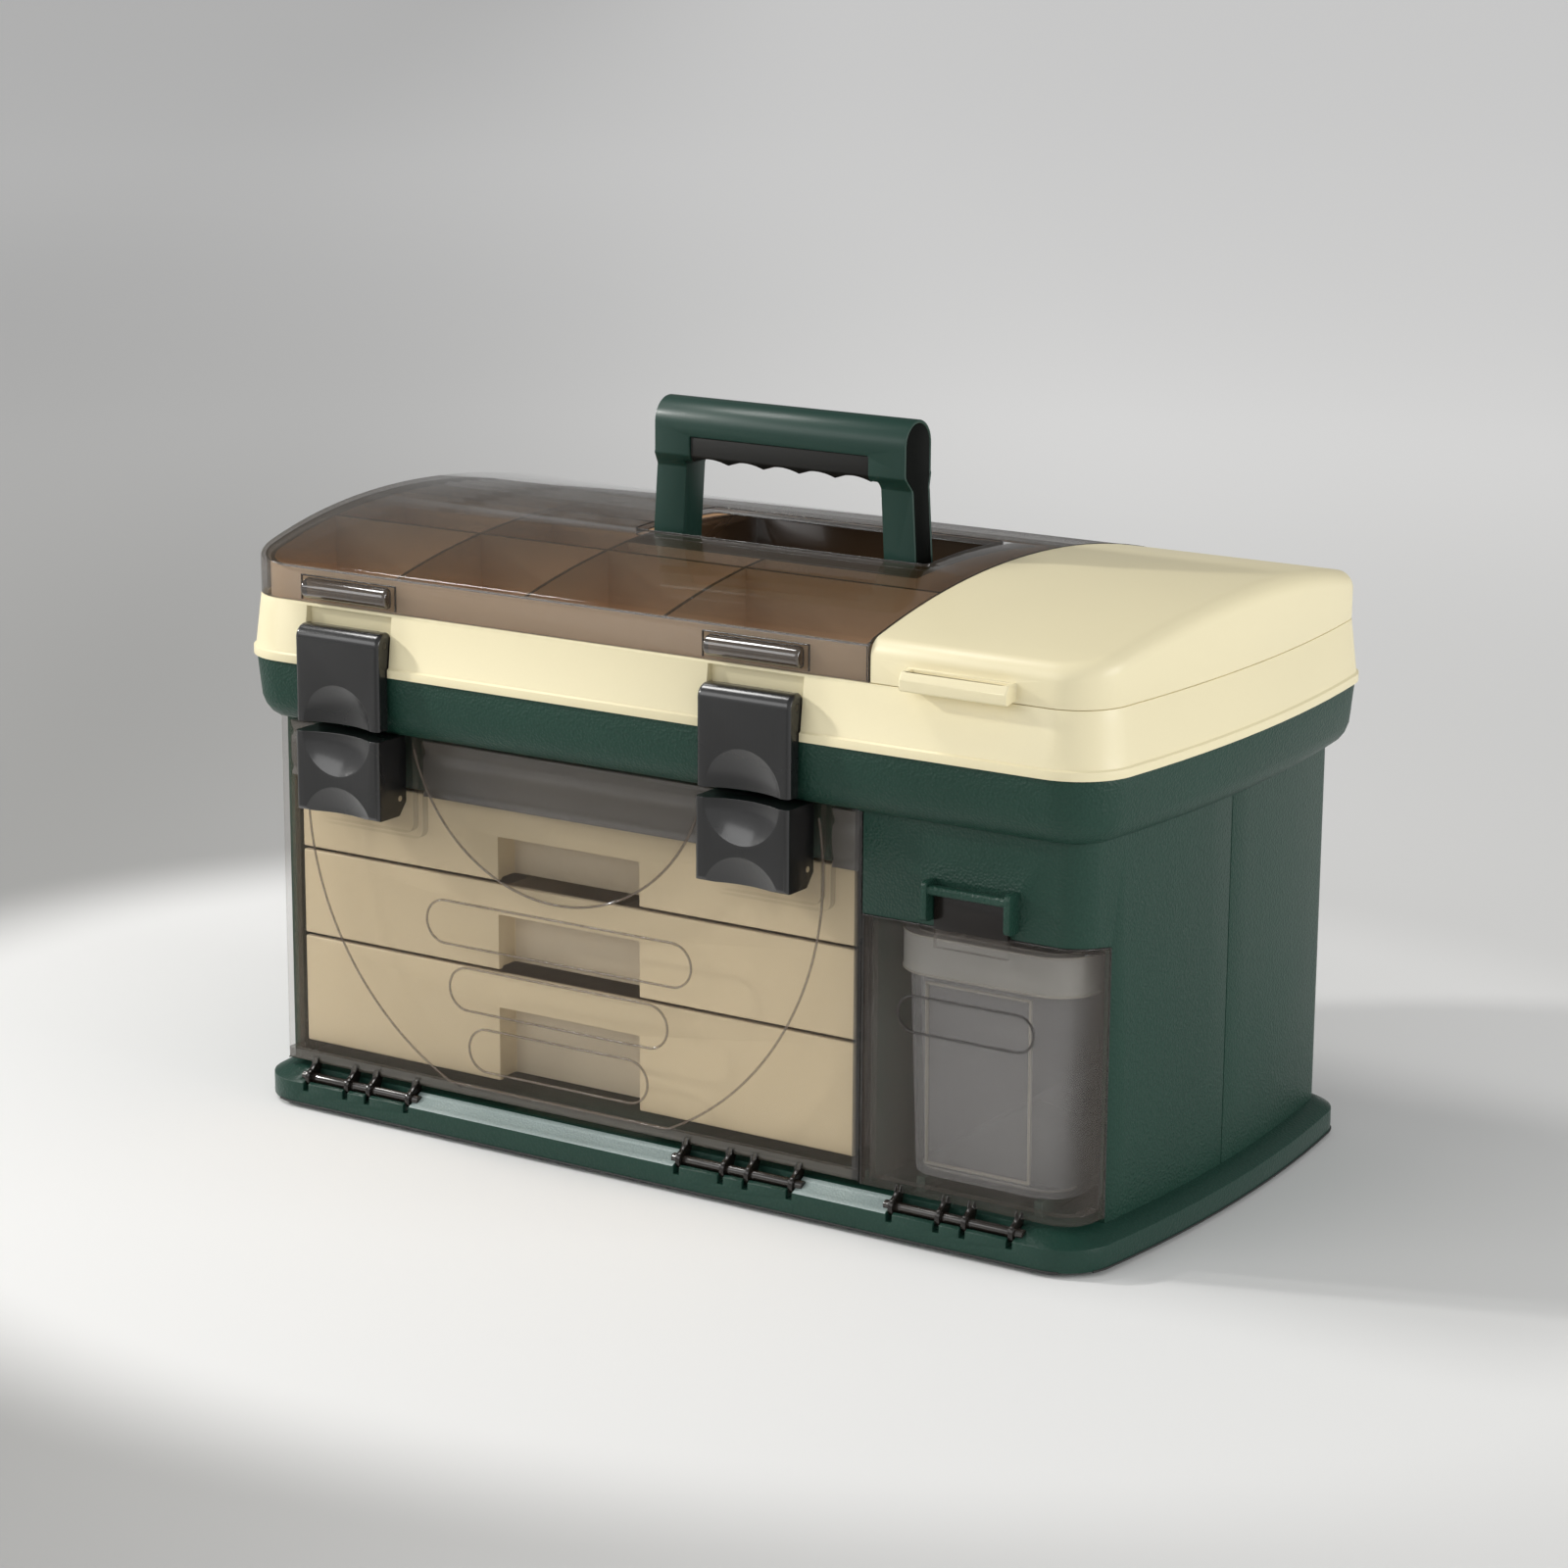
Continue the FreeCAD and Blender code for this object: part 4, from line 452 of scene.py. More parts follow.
@dataclass
class Workshop:
    """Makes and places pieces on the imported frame.

    Attributes:
        finishes: shared materials.
        made: every finished piece and its body.
        front_gap: how far behind the front plane the drawers start, in millimetres.
    """

    frame: dict
    finishes: Finishes
    made: list[tuple[str, str]] = field(default_factory=list)
    front_gap: float = 10.0

    def __post_init__(self) -> None:
        """Work out each node's body, the front plane and the base plane."""
        bodies = self.frame["record"]["behaviour"]["bodies"]
        self.body_of = {node: body for body, nodes in bodies.items() for node in nodes}
        self.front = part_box("drawer_top")[0][1] - self.front_gap * MM
        self.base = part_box("base_pan")[0][2]

    def spot(self, x: float, y: float, z: float) -> Vector:
        """Turn a place on the cabinet, in millimetres, into a point of the frame, in metres."""
        return Vector((x * MM, self.front + y * MM, self.base + z * MM))

    def place_of(self, point: Vector) -> Corner:
        """Return a point of the frame in the cabinet's millimetres."""
        return point.x / MM, (point.y - self.front) / MM, (point.z - self.base) / MM

    def moulding(self, node: str, finish: Finish, edge: Edge, accents: tuple[Accent, ...] = (),
                 crease: float = 32.0) -> None:
        """Copy a node's shape, soften its edges and let the copy stand for it.

        Args:
            node: the node's name.
            finish: its finish.
            edge: width of its softened edges.
            accents: stretches with a finish of their own.
            crease: angle in degrees above which an edge counts as one.
        """
        mesh = self.merged(node, [cut for accent in accents for cut in accent.cuts])
        piece = self.placed(f"{node}_moulded", mesh)
        soften = piece.modifiers.new("soft_edges", "BEVEL")
        soften.width = edge.value * MM
        soften.segments = 2
        soften.limit_method = "ANGLE"
        soften.angle_limit = math.radians(crease)
        soften.miter_outer = "MITER_ARC"
        self.settle(piece, crease)
        self.finish_piece(piece, finish, self.body_of[node], [node])
        for index, accent in enumerate(accents, start=1):
            piece.data.materials.append(self.finishes.material(accent.finish))
            for face in piece.data.polygons:
                if accent.holds(self.place_of(face.center), face.normal):
                    face.material_index = index

    def merged(self, node: str, cuts: list[tuple[int, float]]) -> Mesh:
        """Copy a node's mesh with its doubles merged and its flat faces joined.

        Args:
            node: the node's name.
            cuts: axis and place of planes that split its faces.

        Returns:
            The new mesh.
        """
        mesh = self.frame["nodes"][node].data.copy()
        mesh.name = f"{node}_moulded"
        bench = bmesh.new()
        bench.from_mesh(mesh)
        bmesh.ops.remove_doubles(bench, verts=bench.verts, dist=3e-6)
        bmesh.ops.dissolve_degenerate(bench, edges=bench.edges, dist=2e-6)
        bmesh.ops.dissolve_limit(bench, angle_limit=math.radians(0.4), verts=bench.verts, edges=bench.edges)
        for axis, place in cuts:
            normal = Vector((axis == 0, axis == 1, axis == 2))
            parts = [*bench.verts, *bench.edges, *bench.faces]
            point = self.spot(place, place, place)
            bmesh.ops.bisect_plane(bench, geom=parts, plane_co=point, plane_no=normal)
        bench.to_mesh(mesh)
        bench.free()
        return mesh

    def outline(self, node: str, fold: float, box: Box, bare: Box) -> Mesh:
        """Keep a node's sharp edges that lie in one box and outside another.

        Args:
            node: the node's name.
            fold: least angle of an edge in degrees.
            box: corners of the box that the edges lie in.
            bare: corners of the box that they stay out of.

        Returns:
            A mesh of those edges alone.
        """
        mesh = self.merged(node, [])
        bench = bmesh.new()
        bench.from_mesh(mesh)
        dropped = []
        for edge in bench.edges:
            middle = self.place_of((edge.verts[0].co + edge.verts[1].co) / 2)
            blunt = edge.calc_face_angle(0.0) < math.radians(fold)
            if blunt or not within(middle, box) or within(middle, bare):
                dropped.append(edge)
        bmesh.ops.delete(bench, geom=bench.faces[:], context="FACES_ONLY")
        bmesh.ops.delete(bench, geom=dropped, context="EDGES")
        loose = [vertex for vertex in bench.verts if not vertex.link_edges]
        bmesh.ops.delete(bench, geom=loose, context="VERTS")
        bench.to_mesh(mesh)
        bench.free()
        return mesh

    @staticmethod
    def placed(name: str, data: Mesh | bpy.types.Light | bpy.types.Camera) -> Object:
        """Put an object into the scene.

        Args:
            name: its name.
            data: its mesh, light or camera.

        Returns:
            The object.
        """
        piece = bpy.data.objects.new(name, data)
        bpy.context.scene.collection.objects.link(piece)
        return piece

    @staticmethod
    def settle(piece: Object, crease: float) -> None:
        """Turn a piece's modifiers into plain mesh and shade it smooth up to an angle.

        Args:
            piece: the piece.
            crease: angle in degrees above which an edge stays sharp.
        """
        graph = bpy.context.evaluated_depsgraph_get()
        done = bpy.data.meshes.new_from_object(piece.evaluated_get(graph), depsgraph=graph)
        done.name = piece.data.name
        piece.modifiers.clear()
        piece.data = done
        done.shade_smooth()
        done.set_sharp_from_angle(angle=math.radians(crease))

    def finish_piece(self, piece: Object, finish: Finish, body: str, nodes: list[str]) -> None:
        """Give a piece its material, its body and the nodes that it stands for.

        Args:
            piece: the piece.
            finish: its finish.
            body: the body it rides on.
            nodes: nodes it replaces; may be empty.
        """
        piece.data.materials.clear()
        piece.data.materials.append(self.finishes.material(finish))
        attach(piece, body)
        if nodes:
            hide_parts(*nodes)
        self.made.append((piece.name, body))

    def grown(self, name: str, tree: NodeTree, values: dict[str, float], finish: Finish, body: str,
              seed: Mesh) -> None:
        """Run a Geometry Nodes tree and keep its result as a plain piece.

        Args:
            name: name of the piece.
            tree: the tree.
            values: its sizes in millimetres, by name.
            finish: finish of the piece.
            body: the body it rides on.
            seed: mesh that the tree starts from.
        """
        piece = self.placed(name, seed)
        grow = piece.modifiers.new("grow", "NODES")
        grow.node_group = tree
        wanted = {label: value * MM for label, value in values.items()}
        wanted["Finish"] = self.finishes.material(finish)
        for item in tree.interface.items_tree:
            if item.item_type == "SOCKET" and item.in_out == "INPUT" and item.name in wanted:
                grow[item.identifier] = wanted[item.name]
        self.settle(piece, 40.0)
        self.finish_piece(piece, finish, body, [])


class Trees:
    """Geometry Nodes trees for what repeats or follows a path, each built once."""

    @staticmethod
    def _begin(name: str, *sizes: str) -> Net:
        """Start a tree that takes geometry, sizes and a finish."""
        inputs = {"Geometry": "Geometry", **dict.fromkeys(sizes, "Float"), "Finish": "Material"}
        return Net.group(name, "GeometryNodeTree", inputs, {"Geometry": "Geometry"})

    @staticmethod
    def _end(net: Net, shape: NodeSocket) -> NodeTree:
        """Realise the instances, set the material and close the tree.

        Args:
            net: the tree's nodes.
            shape: the geometry so far.

        Returns:
            The tree.
        """
        real = net.add("GeometryNodeRealizeInstances", "Geometry", {"Geometry": shape})
        dressing = {"Geometry": real, "Material": net.given("Finish")}
        return net.close({"Geometry": net.add("GeometryNodeSetMaterial", "Geometry", dressing)})

    @cached_property
    def raised_lines(self) -> NodeTree:
        """Round bead along every loose edge path of the mesh it is given.

        Returns:
            The tree.
        """
        net = self._begin("raised_lines", "Radius", "Spacing")
        path = net.add("GeometryNodeMeshToCurve", "Curve", {"Mesh": net.given("Geometry")})
        rings = {"Curve": path, "Length": net.given("Spacing")}
        even = net.add("GeometryNodeResampleCurve", "Curve", rings, mode="LENGTH")
        circle = {"Resolution": 10, "Radius": net.given("Radius")}
        section = net.add("GeometryNodeCurvePrimitiveCircle", "Curve", circle)
        sweep = {"Curve": even, "Profile Curve": section, "Fill Caps": True}
        return self._end(net, net.add("GeometryNodeCurveToMesh", "Mesh", sweep))

    @cached_property
    def pin_heads(self) -> NodeTree:
        """Low domed pin heads, flat along X, at the vertices of the mesh it is given.

        Returns:
            The tree.
        """
        net = self._begin("pin_heads", "Radius", "Rise")
        dome = net.add("GeometryNodeMeshUVSphere", "Mesh", {"Segments": 24, "Rings": 12})
        radius = net.given("Radius")
        size = net.add("ShaderNodeCombineXYZ", "Vector", {"X": net.given("Rise"), "Y": radius, "Z": radius})
        heads = {"Points": net.given("Geometry"), "Instance": dome, "Scale": size}
        return self._end(net, net.add("GeometryNodeInstanceOnPoints", "Instances", heads))


# ---- Sub-assemblies ----


@dataclass
class SubAssembly:
    """A group of pieces built on the shared workshop.

    Attributes:
        shop: the workshop.
        trees: its Geometry Nodes trees.
        bead_gap: distance between the rings of an edge bead in millimetres.
    """

    shop: Workshop
    trees: Trees
    bead_gap: float = 1.5

    def build(self) -> None:
        """Make every piece of the group."""
        raise NotImplementedError

    def mould(self, finish: Finish, edge: Edge, *nodes: str, accents: tuple[Accent, ...] = ()) -> None:
        """Make mouldings of one finish, each with the same accents."""
        for node in nodes:
            self.shop.moulding(node, finish, edge, accents)

    def beads(self, node: str, finish: Finish, radius: float, box: Box, bare: Box = NOWHERE,
              fold: float = 60.0) -> None:
        """Lay thin beads along a node's sharp edges: painted lines that stand in for the shade, dark outlines
        and highlights that light gives those edges.

        Args:
            node: the node's name.
            finish: finish of the beads.
            radius: their radius in millimetres.
            box: corners of the box that the edges lie in.
            bare: corners of a box inside it whose edges stay bare.
            fold: least angle of an edge in degrees.
        """
        values = {"Radius": radius, "Spacing": self.bead_gap}
        edges = self.shop.outline(node, fold, box, bare)
        body = self.shop.body_of[node]
        self.shop.grown(f"{node}_painted_edge_beads", self.trees.raised_lines, values, finish, body, edges)


@dataclass
class Case(SubAssembly):
    """Base, walls, floors, runners and feet.

    Attributes:
        inside: space inside the walls.
        ledges: x ranges of the base's front ledge between the hinges, where a highlight is painted in pale
            green.
        ledge_low: y and z of the ledge's lower edge.
        ledge_high: y and z of its upper edge.
        ledge_rise: least upward part of the normals of the ledge's faces.
        underside: slice that holds the base pan's lowest edges.
        underside_bare: space inside that slice whose edges stay bare.
        painted_dark_line: radius of the dark bead along those edges, a painted shadow for the gap under the
            base with its dark bottom edge.
    """

    inside: Box = ((-205.5, 4.0, 5.0), (205.5, 225.0, 199.0))
    ledges: tuple[Span, ...] = ((-128.6, 15.2), (76.8, 122.7))
    ledge_low: Span = (-9.2, 9.0)
    ledge_high: Span = (0.6, 15.2)
    ledge_rise: float = 0.6
    underside: Box = ((-FAR, -FAR, -1.0), (FAR, FAR, 1.2))
    underside_bare: Box = ((-215.4, -7.4, -FAR), (215.4, 236.8, FAR))
    painted_dark_line: float = 0.5

    def build(self) -> None:
        """Make the case's mouldings."""
        inside = Accent(Finishes.GREEN_INSIDE, self.inside)
        self.mould(Finishes.GREEN, Edge.PLAIN, "case_body", accents=(inside,))
        # Painted highlight: the ledge stretches between the hinges take the pale green.
        bright = []
        for left, right in self.ledges:
            box = ((left, *self.ledge_low), (right, *self.ledge_high))
            bright.append(Accent(Finishes.GREEN_LEDGE_PAINTED_HIGHLIGHT, box, self.ledge_rise, ((0, left), (0, right))))
        self.mould(Finishes.GREEN_BASE, Edge.ROUND, "base_pan", accents=tuple(bright))
        # Painted shadow: a dark rubber bead along the base's lowest edges stands in for the shade in the gap
        # under the base, with the dark bottom edge it shows.
        self.beads("base_pan", Finishes.FOOT, self.painted_dark_line, self.underside, self.underside_bare)
        runners = ("drawer_runners_left", "drawer_runners_right")
        self.mould(Finishes.GREEN_INSIDE, Edge.SHARP, "bulk_deck", "bay_partition", *runners)
        self.mould(Finishes.FOOT, Edge.THIN, "feet")
        rods = ("front_door_hinge_rods", "side_door_hinge_rod")
        self.mould(Finishes.PIN, Edge.CRISP, *rods, "lid_hinge_pins")


@dataclass
class Lid(SubAssembly):
    """Lid frame, tray, covers and their pins.

    Attributes:
        well: space of the handle's well in the tray.
        ridges: space above the tray's compartments, with the top edges of its dividers.
        ridge_rise: least upward part of the normals of those edges.
        cover_front: slice that holds the clear cover's front face, painted lighter and greyer for its whitish
            reflection.
        cover_edges: space above the clear cover's lower edge.
        painted_dark_line: radius of the dark bead along the clear cover's edges, a painted dark outline.
        cover_fold: least angle in degrees of the edges that carry it.
        tab_half: half the length of one of the clear cover's tabs over the latches, with its plate.
        tab_rear: y of the rear of a tab.
        tab_height: heights of a tab's lower and upper end.
    """

    well: Box = ((-64.3, 74.1, 232.7), (83.3, 176.4, 262.0))
    ridges: Box = ((-FAR, -FAR, 236.0), (FAR, FAR, FAR))
    ridge_rise: float = 0.75
    cover_front: Box = ((-FAR, -9.8, 236.0), (FAR, -8.6, 260.0))
    cover_edges: Box = ((-FAR, -FAR, 237.4), (FAR, FAR, FAR))
    painted_dark_line: float = 0.28
    cover_fold: float = 62.0
    tab_half: float = 23.8
    tab_rear: float = -10.1
    tab_height: Span = (237.2, 247.4)

    def build(self) -> None:
        """Make the lid's mouldings."""
        self.mould(Finishes.CREAM, Edge.THIN, "lid_shell")
        dark = (Accent(Finishes.WELL, self.ridges, self.ridge_rise), Accent(Finishes.WELL, self.well))
        self.mould(Finishes.TRAY_PAINTED_LIGHT, Edge.CRISP, "top_tray", accents=dark)
        # Painted reflection: the cover's front face takes the lighter, greyer finish.
        clear = [Accent(Finishes.COVER_FRONT_PAINTED_LIGHT, self.cover_front)]
        low, high = self.tab_height
        for x in LATCH_MIDDLES:
            box = ((x - self.tab_half, -FAR, low), (x + self.tab_half, self.tab_rear, high))
            clear.append(Accent(Finishes.SMOKE_TAB, box))
        self.mould(Finishes.COVER, Edge.PLAIN, "smoke_cover", accents=tuple(clear))
        # Painted shade: a dark bead along the clear cover's edges stands in for the darker look that light
        # gives them.
        self.beads("smoke_cover", Finishes.SMOKE_RIM, self.painted_dark_line, self.cover_edges, fold=self.cover_fold)
        self.mould(Finishes.CREAM, Edge.SOFT, "side_cover")
        latch_pins = ("upper_latch_pin_left", "upper_latch_pin_right")
        self.mould(Finishes.PIN, Edge.SHARP, "cover_hinge_pins", "side_cover_hinge_pin", *latch_pins)
        self.mould(Finishes.GREEN_SMOOTH, Edge.CRISP, "handle_pins")


@dataclass
class Handle(SubAssembly):
    """Carrying handle with its grip and side plates."""

    def build(self) -> None:
        """Make the handle's mouldings."""
        self.mould(Finishes.GREEN_SMOOTH, Edge.BEAM, "handle_frame")
        self.mould(Finishes.SIDE_PLATE, Edge.CRISP, "handle_side_inserts")
        self.mould(Finishes.BLACK_GRIP, Edge.ROUND, "grip_insert")


@dataclass
class Latches(SubAssembly):
    """Upper and lower latches and the heads of the lower latches' pins.

    Attributes:
        crease: angle in degrees above which a latch's edge counts as one.
        half: half a latch's width.
        head: radius of a pin head.
        rise: how far a pin head is domed.
        axis: y and z of the lower latches' pins.
    """

    crease: float = 18.0
    half: float = 23.3
    head: float = 1.35
    rise: float = 0.3
    axis: Span = (-5.0, 151.5)

    def build(self) -> None:
        """Make the latches and their pin heads."""
        for side, centre in zip(("left", "right"), LATCH_MIDDLES):
            for level in ("upper", "lower"):
                self.shop.moulding(f"{level}_latch_{side}", Finishes.BLACK, Edge.SOFT, crease=self.crease)
            ends = [self.shop.spot(centre + reach, *self.axis) for reach in (-self.half, self.half)]
            seed = bpy.data.meshes.new(f"pin_head_places_{side}")
            seed.from_pydata(ends, [], [])
            values = {"Radius": self.head, "Rise": self.rise}
            name = f"lower_latch_pin_heads_{side}"
            self.shop.grown(name, self.trees.pin_heads, values, Finishes.PIN_HEAD, "front_door", seed)


@dataclass
class Doors(SubAssembly):
    """Clear front door and side door with their raised lines.

    Attributes:
        left: left edge of the front door.
        right: right edge of the front door.
        rim: width of the denser right edge of the front door.
        sill: height of the front door's denser bottom edge.
        bars: space of the doors' hinge bars.
        tongue: space of the side door's tongue.
        outline: space of the front door's outer edges.
        plate: space inside them whose edges stay bare.
        side_outline: space of the side door's outer edges.
        side_plate: space inside them whose edges stay bare.
        painted_dark_line: radius of the dark bead along the outer edges, a painted dark outline.
        bottom: height where raised lines stop at the bottom.
        top: height where raised lines stop at the top.
        middle: x of the middle of the raised figures.
        bead: radius of a raised line.
        line_gap: distance between the rings of a raised line.
        proud: how far the middle of a line lies before the plate.
        ring: radius and middle height of the large ring.
        half_ring: the same of the small one.
        capsules: length and middle height of each capsule.
        capsule_height: height of those capsules.
        side_capsule: middle x, length, middle height and height of the side door's capsule.
        band: z and y of the points of the moulded band behind the front door's top edge.
        band_thick: thickness of that band.
        band_spans: stretches in x that it fills.
        band_crease: angle in degrees above which its edges stay sharp.
    """

    left: float = -205.7
    right: float = 104.3
    rim: float = 3.5
    sill: float = 22.4
    bars: Box = ((-FAR, -FAR, 0.0), (FAR, 3.4, 17.6))
    tongue: Box = ((130.0, -4.0, 135.0), (180.0, 1.0, FAR))
    outline: Box = ((-FAR, -FAR, 17.4), (FAR, 0.6, 181.0))
    plate: Box = ((-203.4, -FAR, 19.4), (102.4, FAR, FAR))
    side_outline: Box = ((-FAR, -FAR, 17.4), (FAR, 30.0, 135.2))
    side_plate: Box = ((107.2, -FAR, 19.4), (205.6, 12.0, 133.0))
    painted_dark_line: float = 0.38
    bottom: float = 21.5
    top: float = 176.0
    middle: float = -52.0
    bead: float = 0.52
    line_gap: float = 1.6
    proud: float = 0.30
    ring: Span = (137.6, 147.0)
    half_ring: Span = (79.5, 193.5)
    capsules: tuple[Span, ...] = ((142.4, 97.0), (117.8, 67.5), (96.8, 40.6))
    capsule_height: float = 19.8
    side_capsule: tuple[float, float, float, float] = (155.0, 64.6, 96.0, 15.8)
    band: tuple[Span, ...] = (
        (177.0, 3.1), (174.6, 3.6), (172.4, 4.9), (170.6, 4.9), (169.4, 3.4), (163.5, 3.1), (158.2, 3.5),
        (156.6, 4.4), (154.6, 4.4), (153.2, 3.5), (151.8, 3.1),
    )
    band_thick: float = 0.7
    band_spans: tuple[Span, ...] = ((-202.0, -186.8), (-126.8, 27.6), (87.6, 100.6))
    band_crease: float = 60.0

    def build(self) -> None:
        """Make the doors, the pins on them, their raised lines and the top band."""
        start = self.right - self.rim
        foot = self.tongue[0][2]
        low = ((-FAR, -FAR, 0.0), (FAR, FAR, self.sill))
        sill = Accent(Finishes.SMOKE_SILL, low, cuts=((2, self.sill),))
        rim = Accent(Finishes.SMOKE_RIM, ((start, -1.0, 0.0), (FAR, FAR, FAR)), cuts=((0, start),))
        bars = Accent(Finishes.SMOKE_BAR, self.bars)
        tongue = Accent(Finishes.SMOKE_BAR, self.tongue, cuts=((2, foot),))
        self.mould(Finishes.DOOR, Edge.CLEAR, "front_door", accents=(sill, rim, bars))
        self.mould(Finishes.SIDE_DOOR, Edge.CLEAR, "side_door", accents=(bars, tongue))
        # Painted shade: dark beads along both doors' outer edges stand in for the darker look that light gives
        # them.
        self.beads("front_door", Finishes.SMOKE_RIM, self.painted_dark_line, self.outline, self.plate)
        self.beads("side_door", Finishes.SMOKE_RIM, self.painted_dark_line, self.side_outline, self.side_plate)
        self.mould(Finishes.PIN, Edge.SHARP, "lower_latch_pin_left", "lower_latch_pin_right")
        arcs = [self.arc(*self.ring), self.arc(*self.half_ring)]
        loops = [self.capsule(self.middle, length, z, self.capsule_height) for length, z in self.capsules]
        self.lines("front_door_raised_lines", Finishes.SMOKE_LINE, "front_door", arcs, loops)
        side_loop = self.capsule(*self.side_capsule)
        self.lines("side_door_raised_line", Finishes.SMOKE_RIM, "side_door", [], [side_loop])
        for number, (x0, x1) in enumerate(self.band_spans, start=1):
            self.top_band(number, x0, x1)

    def lines(self, name: str, finish: Finish, body: str, arcs: list[Route],
              loops: list[Route]) -> None:
        """Lay raised lines on a door.

        Args:
            name: name of the piece.
            finish: its finish.
            body: the body it rides on.
            arcs: points of each open line.
            loops: points of each line that returns to its start.
        """
        points: list[Vector] = []
        edges: list[tuple[int, int]] = []
        for route, closed in [(arc, False) for arc in arcs] + [(loop, True) for loop in loops]:
            first, last = len(points), len(points) + len(route) - 1
            points += route
            edges += [(index, index + 1) for index in range(first, last)]
            if closed:
                edges.append((last, first))
        seed = bpy.data.meshes.new(f"{name}_paths")
        seed.from_pydata(points, edges, [])
        values = {"Radius": self.bead, "Spacing": self.line_gap}
        self.shop.grown(name, self.trees.raised_lines, values, finish, body, seed)

    def arc(self, radius: float, z: float, steps: int = 200) -> Route:
        """Lower part of a circle round the middle, as far as the door's edges let it go.

        Args:
            radius: its radius.
            z: height of its middle.
            steps: number of steps round the whole circle.

        Returns:
            Its points.
        """
        points = []
        for step in range(steps + 1):
            turn = math.pi / 2 - 2 * math.pi * step / steps
            x = self.middle + radius * math.cos(turn)
            height = z + radius * math.sin(turn)
            if self.bottom < height < self.top and self.left + 1 < x < self.right - 1:
                points.append(self.shop.spot(x, -self.proud, height))
        return points

    def capsule(self, middle: float, length: float, z: float, height: float, end_steps: int = 14,
                side_steps: int = 24) -> Route:
        """Outline of a lying capsule.

        Args:
            middle: x of its middle.
            length: its length.
            z: height of its middle.
            height: its height.
            end_steps: number of steps round each end.
            side_steps: number of steps along each straight side.

        Returns:
            Its points.
        """
        radius = height / 2
        straight = length / 2 - radius
        points = []
        for side in (1, -1):
            for step in range(end_steps + 1):
                turn = side * math.pi / 2 - math.pi * step / end_steps
                x = middle + side * straight + radius * math.cos(turn)
                points.append(self.shop.spot(x, -self.proud, z + radius * math.sin(turn)))
            last = points[-1]
            end = self.shop.spot(middle - side * straight, -self.proud, z - side * radius)
            points += [last.lerp(end, part / side_steps) for part in range(1, side_steps)]
        return points

    def top_band(self, number: int, x0: float, x1: float) -> None:
        """Make one stretch of the ribbed band behind the front door's top edge.

        Args:
            number: number of the stretch.
            x0: its left end.
            x1: its right end.
        """
        bench = bmesh.new()
        rear = [(z, y + self.band_thick) for z, y in reversed(self.band)]
        ring = [*self.band, *rear]
        count = len(ring)
        left, right = ([bench.verts.new(self.shop.spot(x, y, z)) for z, y in ring] for x in (x0, x1))
        for one in range(count):
            two = (one + 1) % count
            bench.faces.new((left[one], left[two], right[two], right[one]))
        for end in (left, right):
            for step in range(len(self.band) - 1):
                bench.faces.new((end[step], end[step + 1], end[count - 2 - step], end[count - 1 - step]))
        bmesh.ops.recalc_face_normals(bench, faces=bench.faces)
        mesh = bpy.data.meshes.new(f"front_door_top_band_{number}")
        bench.to_mesh(mesh)
        bench.free()
        mesh.shade_smooth()
        mesh.set_sharp_from_angle(angle=math.radians(self.band_crease))
        self.shop.finish_piece(self.shop.placed(mesh.name, mesh), Finishes.SMOKE_DENSE, "front_door", [])


@dataclass
class Drawers(SubAssembly):
    """Drawers, dividers and the bin.

    Attributes:
        pulls: space of the finger pulls, whose recesses get a darker tan as painted shade.
        rim: space of the bin's rim.
        bin_front: space of the bin's front edges.
        painted_pale_line: radius of the pale bead along those edges, a painted highlight.
        bin_fold: least angle in degrees of the edges that carry it.
    """

    pulls: Box = ((-89.1, 10.4, 18.0), (-11.8, 23.5, 200.0))
    rim: Box = ((-FAR, -FAR, 110.0), (FAR, FAR, 130.0))
    bin_front: Box = ((-FAR, -FAR, 23.0), (FAR, 40.0, 130.0))
    painted_pale_line: float = 0.5
    bin_fold: float = 45.0

    def build(self) -> None:
        """Make the drawers and the bin."""
        # Painted shade: the finger-pull recesses take the darker tan.
        pulls = (Accent(Finishes.TAN_PAINTED_SHADE, self.pulls),)
        for level in ("top", "middle", "bottom"):
            self.mould(Finishes.TAN, Edge.ROUND, f"drawer_{level}", accents=pulls)
        self.mould(Finishes.TAN, Edge.SHARP, "dividers_top", "dividers_middle")
        rim = Accent(Finishes.GREY_RIM, self.rim)
        self.mould(Finishes.GREY_CLEAR, Edge.PLAIN, "lure_bin", accents=(rim,))
        # Painted highlight: pale beads along the bin's front edges.
        self.beads("lure_bin", Finishes.GREY_EDGE_PAINTED_HIGHLIGHT, self.painted_pale_line, self.bin_front, fold=self.bin_fold)


# ---- Studio ----


@dataclass(frozen=True)
class Lamp:
    """One soft light.

    Attributes:
        name: its name.
        towards: direction in which it hangs, seen from the cabinet.
        distance: its distance in metres.
        size: its width and height in metres.
        power: watts.
        tint: colour of the light.
    """

    name: str
    towards: Corner
    distance: float
    size: Span
    power: float
    tint: tuple[float, float, float] = (1.0, 1.0, 1.0)


